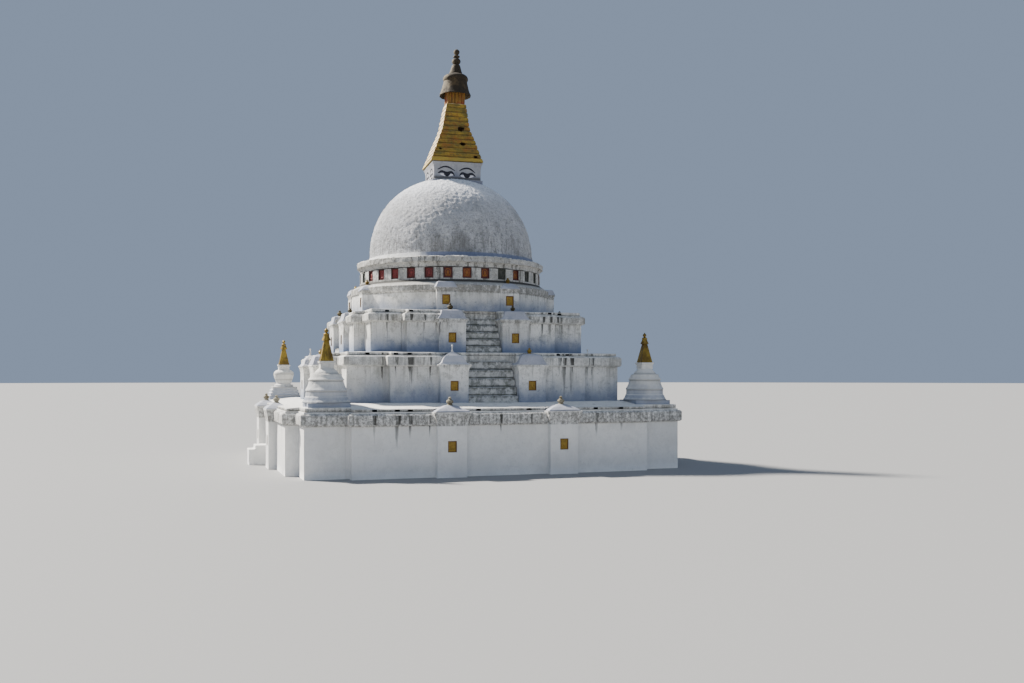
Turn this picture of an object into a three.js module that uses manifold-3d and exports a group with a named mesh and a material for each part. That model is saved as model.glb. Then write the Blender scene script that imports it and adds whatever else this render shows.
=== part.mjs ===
// A whitewashed Himalayan stupa, built as the masonry pieces it is stacked from.
// Units are millimetres, +Z is up, the ground is z = 0 and the axis of the stupa is the Z axis.
// The front, with the stairs that the photograph shows, faces -Y, and +X is to its right.
import * as THREE from "three";
import { mergeVertices } from "three/addons/utils/BufferGeometryUtils.js";
import Module from "manifold-3d";

const wasm = await Module();
wasm.setup();

// Clearance kept between pieces that touch
const GAP = 0.3;
// How far a cutting shape runs past what it cuts
const BEYOND = 1000;
const SIDES = ["front", "right", "back", "left"];
const QUARTER = Math.PI / 2;

// Height of each level's walking surface above the ground
const PLINTH_TOP = 3150;
const TERRACE_1_TOP = 5580;
const TERRACE_2_TOP = 7650;
const TERRACE_3_TOP = 9100;

// Square levels: corner and bay are the distances of the wall faces from the axis,
// bayHalf is half the length of the bay that stands out in the middle of each side
const PLINTH = {
  base: 0, top: PLINTH_TOP, corner: 8980, bayHalf: 7030, bay: 9560, coping: 240,
  bandBottom: 2290, bandTop: 2830,
};
const TERRACE_1 = {
  base: PLINTH_TOP, top: TERRACE_1_TOP, corner: 6790, bayHalf: 4850, bay: 7220, coping: 130,
  bandBottom: 4920, bandTop: 5420,
};
const TERRACE_2 = {
  base: TERRACE_1_TOP, top: TERRACE_2_TOP, corner: 5410, bayHalf: 3770, bay: 5930, coping: 120,
  bandBottom: 7050, bandTop: 7480,
};
const PLINTH_BAY_BACK = 8960;
const BAND_DEPTH = 150;
const BAND_CHAMFER = 70;
const COPING_SET_BACK = 50;

// Shrines: two on each side of a level, with a flared crown, a roof and a niche. In plan each is
// half wide to each side of at, and depthHalf deep to each side of its centre
const PLINTH_SHRINE = {
  at: 2650, half: 680, depthHalf: 450, front: 9940, flare: 2190, eaves: 2860, crown: 860, peak: 3230,
  nicheHalf: 200, nicheBottom: 1120, nicheTop: 1620,
};
const TERRACE_1_SHRINE = {
  at: 1920, half: 680, depthHalf: 450, front: 7700, flare: 4650, eaves: 4970, crown: 805, peak: 5660,
  nicheHalf: 195, nicheBottom: 3790, nicheTop: 4250,
};
const TERRACE_2_SHRINE = {
  at: 1600, half: 680, depthHalf: 450, front: 6180, flare: 6890, eaves: 7190, crown: 790, peak: 7700,
  nicheHalf: 190, nicheBottom: 6080, nicheTop: 6560,
};
const TERRACE_3_SHRINE = {
  at: 1640, half: 480, depthHalf: 340, front: 5200, flare: 8640, eaves: 8790, crown: 545, peak: 9130,
  nicheHalf: 200, nicheBottom: 7980, nicheTop: 8460,
};
const NICHE_DEPTH = 250;
const EAVES_LIP = 40;

// The two low steps against the left side of the plinth
const FOOT_STEP = { outer: 10650, inner: 10330, half: 600, low: 800, high: 1000 };

// Stair flights, let in between the shrines of terraces 1 and 2
const RISERS = 6;
const BEHIND_STAIR = 60;
const TERRACE_1_STAIR = { tread: 220, front: 7640 };
const TERRACE_2_STAIR = { tread: 200, front: 6120 };

// Round levels
const TERRACE_3_RADIUS = 5290;
const TERRACE_3_BAND = 8640;
const TERRACE_3_SHOULDER = 8960;
const TERRACE_3_COLLAR = 9270;
const DRUM_RADIUS = 4860;
const DRUM_CORE_RADIUS = 4600;
const DRUM_CORNICE_RADIUS = 5040;
const DRUM_CORNICE_TOP = 10470;
const DRUM_NICHES = 32;
const DRUM_NICHE_WIDTH = 450;
const DRUM_SILL = 9340;
const DRUM_LINTEL = 9870;
const DOME_RADIUS = 4380;
const DOME_SPRING = 10780;
const DOME_RISE = 4320;
const DOME_FULLNESS = 2.1;
const DOME_LEAN = -0.025;

// Harmika, spire, umbrella and finial
const HARMIKA_BASE = 14600;
const HARMIKA_STEP = 14880;
const HARMIKA_HALF = 1270;
const HARMIKA_FLARE = 15480;
const HARMIKA_TOP = 15820;
const HARMIKA_TOP_HALF = 1360;
const SPIRE_TOP = 19150;
const SPIRE_RINGS = 13;
const SPIRE_HALVES = [1410, 1075, 745, 522];
const SPIRE_HALF_HEIGHTS = [0, 0.29, 0.57, 1];
const NECK_HALF = 475;
const UMBRELLA_RIM = 19650;
const UMBRELLA_CEILING = 20100;
const UMBRELLA_TOP = 20860;
// The harmika stands a little off the axis, it and all above it are turned a few degrees, and
// the spire leans to the right as if from a point inside the dome
const HARMIKA_SHIFT = 130;
const CROWN_YAW = -4;
const SPIRE_LEAN = 0.04;
const LEAN_START = 13320;

// Corner chortens on the plinth, which are set out a little unevenly
const CHORTEN_Y = 7850;
const CHORTEN_HARMIKA = 4820;
const CHORTEN_SPIRE = 5140;
const CHORTEN_RINGS = 9;

const whitewash = { color: 0xd9d9d6, roughness: 0.95, metalness: 0 };
const stairStone = { color: 0x8b8c86, roughness: 0.95, metalness: 0 };
const goldPaint = { color: 0xb98a2a, roughness: 0.6, metalness: 0.2 };
const redPaint = { color: 0xb0562a, roughness: 0.8, metalness: 0 };
const bronze = { color: 0x7a6243, roughness: 0.55, metalness: 0.7 };

const group = new THREE.Group();

// Turns a closed geometry into a solid, facing out
function solidOf(geometry) {
  const plain = geometry.clone();
  plain.deleteAttribute("normal");
  plain.deleteAttribute("uv");
  const merged = mergeVertices(plain, 0.01);
  const position = merged.attributes.position;
  const index = merged.index.array;
  const kept = [];
  let volume = 0;
  const a = new THREE.Vector3();
  const b = new THREE.Vector3();
  const c = new THREE.Vector3();
  for (let i = 0; i < index.length; i += 3) {
    const [p, q, r] = [index[i], index[i + 1], index[i + 2]];
    if (p !== q && q !== r && r !== p) {
      kept.push(p, q, r);
      a.fromBufferAttribute(position, p);
      b.fromBufferAttribute(position, q);
      c.fromBufferAttribute(position, r);
      volume += a.dot(b.cross(c));
    }
  }
  if (volume < 0) {
    kept.reverse();
  }
  return new wasm.Manifold(new wasm.Mesh({
    numProp: 3,
    vertProperties: new Float32Array(position.array),
    triVerts: new Uint32Array(kept),
  }));
}

function add(name, solid, material) {
  const mesh = solid.getMesh();
  const geometry = new THREE.BufferGeometry();
  geometry.setAttribute("position", new THREE.BufferAttribute(mesh.vertProperties, 3));
  geometry.setIndex(new THREE.BufferAttribute(mesh.triVerts, 1));
  geometry.computeVertexNormals();
  const node = new THREE.Mesh(geometry, new THREE.MeshStandardMaterial(material));
  node.name = name;
  group.add(node);
}

function union(solids) {
  return solids.reduce((sum, solid) => sum.add(solid));
}

// A box from one corner to the other
function block(x0, y0, z0, x1, y1, z1) {
  const geometry = new THREE.BoxGeometry(x1 - x0, y1 - y0, z1 - z0);
  geometry.translate((x0 + x1) / 2, (y0 + y1) / 2, (z0 + z1) / 2);
  return solidOf(geometry);
}

// Leans a geometry along X by share of its height above from
function lean(geometry, share, from) {
  geometry.applyMatrix4(new THREE.Matrix4().makeShear(0, 0, 0, 0, share, 0));
  geometry.translate(-share * from, 0, 0);
}

// A profile of [radius, height] pairs turned about the Z axis; it starts and ends on the axis
function turned(profile, segments, share = 0, from = 0, phase = 0) {
  const points = profile.map(([radius, height]) => new THREE.Vector2(radius, height));
  const geometry = new THREE.LatheGeometry(points, segments, phase);
  geometry.rotateX(QUARTER);
  lean(geometry, share, from);
  return solidOf(geometry);
}

// The same, square in plan and turned by yaw degrees: the profile gives half widths
function squareTurned(profile, yaw = 0, share = 0, from = 0) {
  const diagonal = profile.map(([half, height]) => [half * Math.SQRT2, height]);
  return turned(diagonal, 4, share, from, Math.PI / 4 + THREE.MathUtils.degToRad(yaw));
}

function moved(solid, x, y, z = 0) {
  return solid.translate([x, y, z]);
}

function onSide(solid, side) {
  return solid.rotate([0, 0, 90 * side]);
}

// Plan outline of a square level with a bay in the middle of each side, grown outwards by grow
function redentedOutline(level, grow) {
  const corner = level.corner + grow;
  const bay = level.bay + grow;
  const bayHalf = level.bayHalf + grow;
  const along = [[-corner, corner], [-bayHalf, corner], [-bayHalf, bay], [bayHalf, bay], [bayHalf, corner]];
  const points = [];
  for (let side = 0; side < 4; side += 1) {
    const turn = new THREE.Vector2();
    for (const [u, v] of along) {
      points.push(new THREE.Vector2(u, -v).rotateAround(turn, side * QUARTER));
    }
  }
  return new THREE.Shape(points);
}

function prism(shape, bottom, top) {
  const geometry = new THREE.ExtrudeGeometry(shape, { depth: top - bottom, bevelEnabled: false });
  geometry.translate(0, 0, bottom);
  return solidOf(geometry);
}

// The projecting band below the coping, with its edges chamfered
function bandRound(level) {
  const shape = redentedOutline(level, BAND_DEPTH - BAND_CHAMFER);
  const geometry = new THREE.ExtrudeGeometry(shape, {
    depth: level.bandTop - level.bandBottom - 2 * BAND_CHAMFER,
    bevelEnabled: true,
    bevelThickness: BAND_CHAMFER,
    bevelSize: BAND_CHAMFER,
    bevelSegments: 1,
  });
  geometry.translate(0, 0, level.bandBottom + BAND_CHAMFER);
  return solidOf(geometry);
}

// One shrine, standing on base: body, cavetto crown, eaves and a roof that curves up to its peak
function shrineSolid(shrine, base, grow = 0) {
  const crownRise = shrine.eaves - shrine.flare;
  const out = shrine.crown - shrine.half;
  const roofRise = shrine.peak - shrine.eaves - EAVES_LIP;
  const profile = [
    [0, base], [shrine.half, base], [shrine.half, shrine.flare],
    [shrine.half + 0.25 * out, shrine.flare + 0.45 * crownRise],
    [shrine.crown, shrine.eaves], [shrine.crown, shrine.eaves + EAVES_LIP],
    [0.72 * shrine.half, shrine.peak - 0.45 * roofRise],
    [0.3 * shrine.half, shrine.peak - 0.06 * roofRise],
    [0, shrine.peak],
  ];
  const grown = profile.map(([half, height]) => [half > 0 ? half + grow : 0, height]);
  return squareTurned(grown).scale([1, (shrine.depthHalf + grow) / (shrine.half + grow), 1]);
}

// Both shrines of one side, seen from the front
function shrinePair(shrine, base, grow = 0) {
  const centre = -(shrine.front - shrine.depthHalf);
  const one = shrineSolid(shrine, base, grow);
  return moved(one, -shrine.at, centre).add(moved(one, shrine.at, centre));
}

function nichePair(shrine) {
  const back = -(shrine.front - NICHE_DEPTH);
  const open = -(shrine.front + BEYOND);
  const one = block(-shrine.nicheHalf, open, shrine.nicheBottom, shrine.nicheHalf, back, shrine.nicheTop);
  return moved(one, -shrine.at, 0).add(moved(one, shrine.at, 0));
}

function allSides(makeSide) {
  return union(SIDES.map((name, side) => onSide(makeSide(), side)));
}

// Half the clear width between the two shrines of a side, which the stair fills
function stairHalf(shrine) {
  return shrine.at - shrine.half;
}

function stairBack(stair) {
  return stair.front - (RISERS - 1) * stair.tread;
}

// The slot that a stair flight stands in
function stairSlot(level, shrine, stair) {
  const half = stairHalf(shrine);
  const front = -(shrine.front + BEYOND);
  return block(-half, front, level.base - BEYOND, half, -stairBack(stair), level.top + BEYOND);
}

// Wall and band of a level with its shrines, before it is cut into pieces
function levelMass(level, shrine) {
  const wallTop = level.top - level.coping - GAP;
  const wall = prism(redentedOutline(level, 0), level.base, wallTop);
  const shrines = allSides(() => shrinePair(shrine, level.base));
  const niches = allSides(() => nichePair(shrine));
  return union([wall, bandRound(level), shrines]).subtract(niches);
}

// The coping slab, which stops against the shrine roofs and the stairs
function copingSolid(level, shrine) {
  const outline = redentedOutline(level, -COPING_SET_BACK);
  const slab = prism(outline, level.top - level.coping, level.top - GAP);
  return slab.subtract(allSides(() => shrinePair(shrine, level.base, 1)));
}

// A stair flight of whole steps, whose last riser is the edge of the level above it
function stairFlight(level, shrine, stair) {
  const half = stairHalf(shrine) - GAP;
  const rise = (level.top - level.base) / RISERS;
  const back = stairBack(stair) + GAP;
  const shape = new THREE.Shape();
  shape.moveTo(back, level.base);
  shape.lineTo(stair.front, level.base);
  for (let step = 1; step < RISERS; step += 1) {
    const edge = stair.front - (step - 1) * stair.tread;
    shape.lineTo(edge, level.base + step * rise);
    if (step < RISERS - 1) {
      shape.lineTo(edge - stair.tread, level.base + step * rise);
    }
  }
  shape.lineTo(back, level.base + (RISERS - 1) * rise);
  const geometry = new THREE.ExtrudeGeometry(shape, { depth: 2 * half, bevelEnabled: false });
  geometry.rotateX(QUARTER);
  geometry.rotateZ(-QUARTER);
  geometry.translate(half, 0, 0);
  return solidOf(geometry);
}

// A level's core and the bay in the middle of each side, which carries that side's two shrines
function addCoreAndBays(name, level, shrine, mass, bayBack) {
  const reach = level.bayHalf + BAND_DEPTH;
  const front = -(shrine.front + BEYOND);
  const bayBox = (grow) => block(
    -reach - grow, front, level.base - BEYOND, reach + grow, -bayBack + grow, level.top + BEYOND,
  );
  add(`${name}_core`, mass.subtract(allSides(() => bayBox(GAP))), whitewash);
  SIDES.forEach((sideName, side) => {
    add(`${name}_bay_${sideName}`, mass.intersect(onSide(bayBox(0), side)), whitewash);
  });
}

// Plinth: a square core with a bay and two shrines on each side
addCoreAndBays("plinth", PLINTH, PLINTH_SHRINE, levelMass(PLINTH, PLINTH_SHRINE), PLINTH_BAY_BACK);
add("plinth_coping", copingSolid(PLINTH, PLINTH_SHRINE), whitewash);

// Two low steps at the foot of the plinth's left side
add("left_foot_step", union([
  block(-FOOT_STEP.outer, -FOOT_STEP.half, 0, -PLINTH.bay - GAP, FOOT_STEP.half, FOOT_STEP.low),
  block(-FOOT_STEP.inner, -FOOT_STEP.half, 0, -PLINTH.bay - GAP, FOOT_STEP.half, FOOT_STEP.high),
]), whitewash);

// Terraces 1 and 2: the same, with a stair let into each bay
function addTerrace(name, level, shrine, stair) {
  const slots = allSides(() => stairSlot(level, shrine, stair));
  const mass = levelMass(level, shrine).subtract(slots);
  addCoreAndBays(name, level, shrine, mass, stairBack(stair) - BEHIND_STAIR);
  add(`${name}_coping`, copingSolid(level, shrine).subtract(slots), whitewash);
  const flight = stairFlight(level, shrine, stair);
  SIDES.forEach((sideName, side) => add(`${name}_stair_${sideName}`, onSide(flight, side), stairStone));
}

addTerrace("terrace_1", TERRACE_1, TERRACE_1_SHRINE, TERRACE_1_STAIR);
addTerrace("terrace_2", TERRACE_2, TERRACE_2_SHRINE, TERRACE_2_STAIR);

// Terrace 3: round, with a faint band, a shoulder that slopes up round the foot of the drum, and
// nearly flush shrines
const terrace3 = turned([
  [0, TERRACE_2_TOP], [TERRACE_3_RADIUS, TERRACE_2_TOP], [TERRACE_3_RADIUS, TERRACE_3_BAND],
  [TERRACE_3_RADIUS + 40, TERRACE_3_BAND + 30], [TERRACE_3_RADIUS + 40, TERRACE_3_SHOULDER],
  [TERRACE_3_RADIUS - 60, TERRACE_3_TOP - 60], [DRUM_RADIUS, TERRACE_3_COLLAR],
  [0, TERRACE_3_COLLAR],
], 64);
const terrace3Shrines = allSides(() => shrinePair(TERRACE_3_SHRINE, TERRACE_2_TOP));
const drumClearance = turned([
  [0, TERRACE_3_TOP - GAP], [DRUM_RADIUS + GAP, TERRACE_3_TOP - GAP], [DRUM_RADIUS + GAP, TERRACE_3_TOP + 900],
  [0, TERRACE_3_TOP + 900],
], 64);
add("terrace_3", terrace3.add(terrace3Shrines).subtract(drumClearance)
  .subtract(allSides(() => nichePair(TERRACE_3_SHRINE))), whitewash);

// Drum: a core that backs the niches, four quarters of niche wall and a cornice
add("drum_core", turned([
  [0, TERRACE_3_TOP], [DRUM_CORE_RADIUS, TERRACE_3_TOP],
  [DRUM_CORE_RADIUS, DRUM_LINTEL - GAP], [0, DRUM_LINTEL - GAP],
], 64), whitewash);
const nicheRing = turned([
  [0, TERRACE_3_TOP], [DRUM_RADIUS, TERRACE_3_TOP], [DRUM_RADIUS, DRUM_LINTEL - GAP], [0, DRUM_LINTEL - GAP],
], 64).subtract(turned([
  [0, 0], [DRUM_CORE_RADIUS + GAP, 0], [DRUM_CORE_RADIUS + GAP, 2 * DRUM_LINTEL], [0, 2 * DRUM_LINTEL],
], 64));
const nicheHalf = DRUM_NICHE_WIDTH / 2;
const nicheCut = block(
  -nicheHalf, -(DRUM_RADIUS + BEYOND), DRUM_SILL, nicheHalf, -DRUM_CORE_RADIUS + BEYOND, DRUM_LINTEL + BEYOND,
);
const nicheStep = 360 / DRUM_NICHES;
const nicheCuts = [];
for (let niche = 0; niche < DRUM_NICHES; niche += 1) {
  nicheCuts.push(nicheCut.rotate([0, 0, (niche + 0.5) * nicheStep]));
}
const nicheWall = nicheRing.subtract(union(nicheCuts));
const wedgeReach = 2 * DRUM_RADIUS;
const wedge = prism(new THREE.Shape([
  new THREE.Vector2(0, -GAP), new THREE.Vector2(-wedgeReach, -wedgeReach - GAP),
  new THREE.Vector2(wedgeReach, -wedgeReach - GAP),
]), TERRACE_3_TOP - 100, DRUM_LINTEL + 100);
SIDES.forEach((sideName, side) => {
  add(`drum_niche_wall_${sideName}`, nicheWall.intersect(onSide(wedge, side)), whitewash);
});
add("drum_cornice", turned([
  [0, DRUM_LINTEL], [DRUM_RADIUS, DRUM_LINTEL], [DRUM_RADIUS, DRUM_LINTEL + 130],
  [DRUM_RADIUS + 50, DRUM_LINTEL + 210], [DRUM_CORNICE_RADIUS, DRUM_LINTEL + 250],
  [DRUM_CORNICE_RADIUS, DRUM_CORNICE_TOP - 70], [DRUM_CORNICE_RADIUS - 70, DRUM_CORNICE_TOP - GAP],
  [0, DRUM_CORNICE_TOP - GAP],
], 64), whitewash);

// Dome: a short upright ring and a half dome a little fuller than a sphere, leaning slightly
// to the left, with a square seat for the harmika
const DOME_RINGS = 16;
const domeProfile = [[0, DRUM_CORNICE_TOP], [DOME_RADIUS, DRUM_CORNICE_TOP]];
for (let ring = 0; ring < DOME_RINGS; ring += 1) {
  const angle = (ring / DOME_RINGS) * QUARTER;
  const radius = DOME_RADIUS * Math.cos(angle) ** (2 / DOME_FULLNESS);
  domeProfile.push([radius, DOME_SPRING + DOME_RISE * Math.sin(angle) ** (2 / DOME_FULLNESS)]);
}
domeProfile.push([0, DOME_SPRING + DOME_RISE]);
const seatHalf = HARMIKA_TOP_HALF + GAP;
const seat = block(-seatHalf, -seatHalf, HARMIKA_BASE - GAP, seatHalf, seatHalf, HARMIKA_TOP);
const domeMiddle = DOME_SPRING + DOME_RISE / 2;
add("dome", turned(domeProfile, 64, DOME_LEAN, domeMiddle)
  .subtract(moved(seat.rotate([0, 0, CROWN_YAW]), HARMIKA_SHIFT, 0)), whitewash);

// Harmika: the square block with the painted eyes, on a low step and flared at its top
add("harmika", moved(squareTurned([
  [0, HARMIKA_BASE], [HARMIKA_TOP_HALF, HARMIKA_BASE], [HARMIKA_TOP_HALF, HARMIKA_STEP],
  [HARMIKA_HALF, HARMIKA_STEP + 20], [HARMIKA_HALF, HARMIKA_FLARE],
  [HARMIKA_HALF + 30, HARMIKA_FLARE + 170], [HARMIKA_TOP_HALF, HARMIKA_TOP - 60],
  [HARMIKA_TOP_HALF, HARMIKA_TOP - GAP], [0, HARMIKA_TOP - GAP],
], CROWN_YAW), HARMIKA_SHIFT, 0), whitewash);

// Half width of the spire at a share of its height, along its slightly hollow sides
function spireHalf(share) {
  const last = SPIRE_HALF_HEIGHTS.length - 1;
  const next = Math.max(1, SPIRE_HALF_HEIGHTS.findIndex((height, i) => i === last || share < height));
  const low = SPIRE_HALF_HEIGHTS[next - 1];
  const high = SPIRE_HALF_HEIGHTS[next];
  return THREE.MathUtils.mapLinear(share, low, high, SPIRE_HALVES[next - 1], SPIRE_HALVES[next]);
}

// Spire: thirteen square rings, each a little narrower than the one under it
const RING_LIP = 22;
const ringRise = (SPIRE_TOP - HARMIKA_TOP) / SPIRE_RINGS;
const spireProfile = [[0, HARMIKA_TOP]];
for (let ring = 0; ring < SPIRE_RINGS; ring += 1) {
  const bottom = HARMIKA_TOP + ring * ringRise;
  spireProfile.push([spireHalf(ring / SPIRE_RINGS), bottom]);
  spireProfile.push([spireHalf((ring + 0.85) / SPIRE_RINGS), bottom + 0.85 * ringRise]);
  spireProfile.push([spireHalf((ring + 1) / SPIRE_RINGS) - RING_LIP, bottom + ringRise - 1]);
}
spireProfile.push([0, SPIRE_TOP - 1]);
add("spire", squareTurned(spireProfile, CROWN_YAW, SPIRE_LEAN, LEAN_START), goldPaint);

// The boarded neck between the spire and the umbrella
add("spire_neck", squareTurned([
  [0, SPIRE_TOP], [NECK_HALF, SPIRE_TOP], [NECK_HALF, UMBRELLA_CEILING - GAP], [0, UMBRELLA_CEILING - GAP],
], CROWN_YAW, SPIRE_LEAN, LEAN_START), redPaint);

// Umbrella: a sheet metal skirt that hangs round the neck, under a bulged cap
add("umbrella", turned([
  [0, UMBRELLA_CEILING], [690, UMBRELLA_CEILING], [840, UMBRELLA_RIM],
  [865, UMBRELLA_RIM], [740, UMBRELLA_RIM + 340], [655, 20370], [635, 20450], [668, 20500], [680, 20590],
  [640, 20700], [540, 20790], [395, 20840], [380, UMBRELLA_TOP - GAP], [0, UMBRELLA_TOP - GAP],
], 32, SPIRE_LEAN, LEAN_START), bronze);

// Finial: a vase, a ball, a disc and a top ball
add("finial", turned([
  [0, UMBRELLA_TOP], [370, UMBRELLA_TOP], [330, 21000], [260, 21230], [225, 21330], [150, 21370],
  [150, 21410], [215, 21470], [238, 21560], [215, 21650], [140, 21710],
  [110, 21750], [180, 21790], [180, 21850], [95, 21890],
  [90, 21930], [145, 21985], [165, 22065], [140, 22150], [70, 22215], [0, 22240],
], 24, SPIRE_LEAN, LEAN_START), bronze);

// Corner chortens: a bell of flared tiers in front, a vase on a stepped foot behind, each with a
// small harmika and a gilded spire
const CHORTEN_FOOT = PLINTH_TOP;
const bellFoot = [[0, CHORTEN_FOOT], [920, CHORTEN_FOOT], [920, 3310], [0, 3310]];
const vaseFoot = [
  [0, CHORTEN_FOOT], [900, CHORTEN_FOOT], [900, 3330], [830, 3340], [830, 3500], [765, 3510], [765, 3670],
  [705, 3680], [705, 3840], [0, 3840],
];
const bellBody = [
  [0, 3300], [1060, 3300], [1060, 3340], [985, 3440], [945, 3560], [910, 3580], [905, 3800],
  [925, 3820], [925, 3870], [850, 3990], [800, 4120], [785, 4220], [760, 4240], [760, 4275],
  [800, 4290], [800, 4330], [725, 4420], [665, 4560], [560, 4580], [520, 4650], [430, 4740],
  [330, CHORTEN_HARMIKA + 20], [0, CHORTEN_HARMIKA + 20],
];
const vaseBody = [
  [0, 3800], [560, 3800], [560, 3960], [430, 4000], [430, 4060], [500, 4220], [560, 4420], [590, 4580],
  [560, 4700], [460, 4790], [330, CHORTEN_HARMIKA + 20], [0, CHORTEN_HARMIKA + 20],
];
const chortenHarmika = [
  [0, CHORTEN_HARMIKA], [300, CHORTEN_HARMIKA], [300, 5030], [345, 5060], [345, CHORTEN_SPIRE - GAP],
  [0, CHORTEN_SPIRE - GAP],
];
const chortenSpireTop = 6060;
const chortenSpireProfile = [[0, CHORTEN_SPIRE]];
const chortenRise = (chortenSpireTop - CHORTEN_SPIRE) / CHORTEN_RINGS;
for (let ring = 0; ring < CHORTEN_RINGS; ring += 1) {
  const bottom = CHORTEN_SPIRE + ring * chortenRise;
  const half = THREE.MathUtils.lerp(285, 115, ring / (CHORTEN_RINGS - 1));
  chortenSpireProfile.push([half, bottom], [half - 8, bottom + 0.8 * chortenRise]);
}
chortenSpireProfile.push([100, chortenSpireTop], [0, chortenSpireTop]);
const chortenCrown = turned([
  [0, 6040], [110, 6040], [205, 6050], [190, 6110], [135, 6220], [120, 6300], [135, 6330], [90, 6370],
  [45, 6385], [45, 6400], [85, 6440], [95, 6480], [75, 6530], [35, 6560], [25, 6590], [0, 6610],
], 16);
const chortens = [
  { name: "front_left", x: -7850, y: -CHORTEN_Y, foot: bellFoot, body: bellBody },
  { name: "front_right", x: 7750, y: -CHORTEN_Y, foot: bellFoot, body: bellBody },
  { name: "back_right", x: 8000, y: CHORTEN_Y, foot: vaseFoot, body: vaseBody },
  { name: "back_left", x: -8020, y: CHORTEN_Y, foot: vaseFoot, body: vaseBody },
];
for (const { name, x, y, foot, body } of chortens) {
  const masonry = union([squareTurned(foot), turned(body, 24), squareTurned(chortenHarmika)]);
  const gilded = squareTurned(chortenSpireProfile).add(chortenCrown);
  add(`corner_chorten_${name}`, moved(masonry, x, y), whitewash);
  add(`corner_chorten_spire_${name}`, moved(gilded, x, y), goldPaint);
}

export default group;
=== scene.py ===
# A whitewashed Himalayan stupa, dressed piece by piece in the order that it is built.
# Metres, +Z up, the front faces -Y, the axis of the drum and dome is the Z axis.
import math
import random
from collections import namedtuple

import bmesh
import bpy
from mathutils import Matrix, Vector, noise


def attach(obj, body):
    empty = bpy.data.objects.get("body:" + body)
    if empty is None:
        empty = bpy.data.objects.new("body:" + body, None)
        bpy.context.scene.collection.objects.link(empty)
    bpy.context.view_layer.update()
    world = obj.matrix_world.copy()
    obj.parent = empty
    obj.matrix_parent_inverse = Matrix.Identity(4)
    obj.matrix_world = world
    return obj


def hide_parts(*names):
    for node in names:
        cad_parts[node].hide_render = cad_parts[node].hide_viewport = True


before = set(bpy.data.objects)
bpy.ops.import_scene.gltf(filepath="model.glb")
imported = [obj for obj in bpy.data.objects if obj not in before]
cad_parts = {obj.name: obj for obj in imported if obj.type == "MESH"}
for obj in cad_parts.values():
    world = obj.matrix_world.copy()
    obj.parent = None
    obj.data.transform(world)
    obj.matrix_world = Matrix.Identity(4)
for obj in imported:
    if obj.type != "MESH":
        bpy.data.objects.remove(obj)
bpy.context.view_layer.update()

# Plinth
# A square platform of stone and mud masonry, plastered and lime washed, with a bay in the middle of
# each side that carries two shrines. The wash is renewed by hand and streaked by rain below each drain.
SIDES = ["front", "right", "back", "left"]
SIDE_TURNS = {side: Matrix.Rotation(number * math.pi / 2, 4, "Z") for number, side in enumerate(SIDES)}
LIME = (0.77, 0.765, 0.735)
OLD_LIME = (0.44, 0.435, 0.405)
# Blue grey of the painted shade at the foot of a wall
PAINTED_FOOT_SHADE = (0.115, 0.16, 0.27)
ALGAE = (0.05, 0.048, 0.042)


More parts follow.
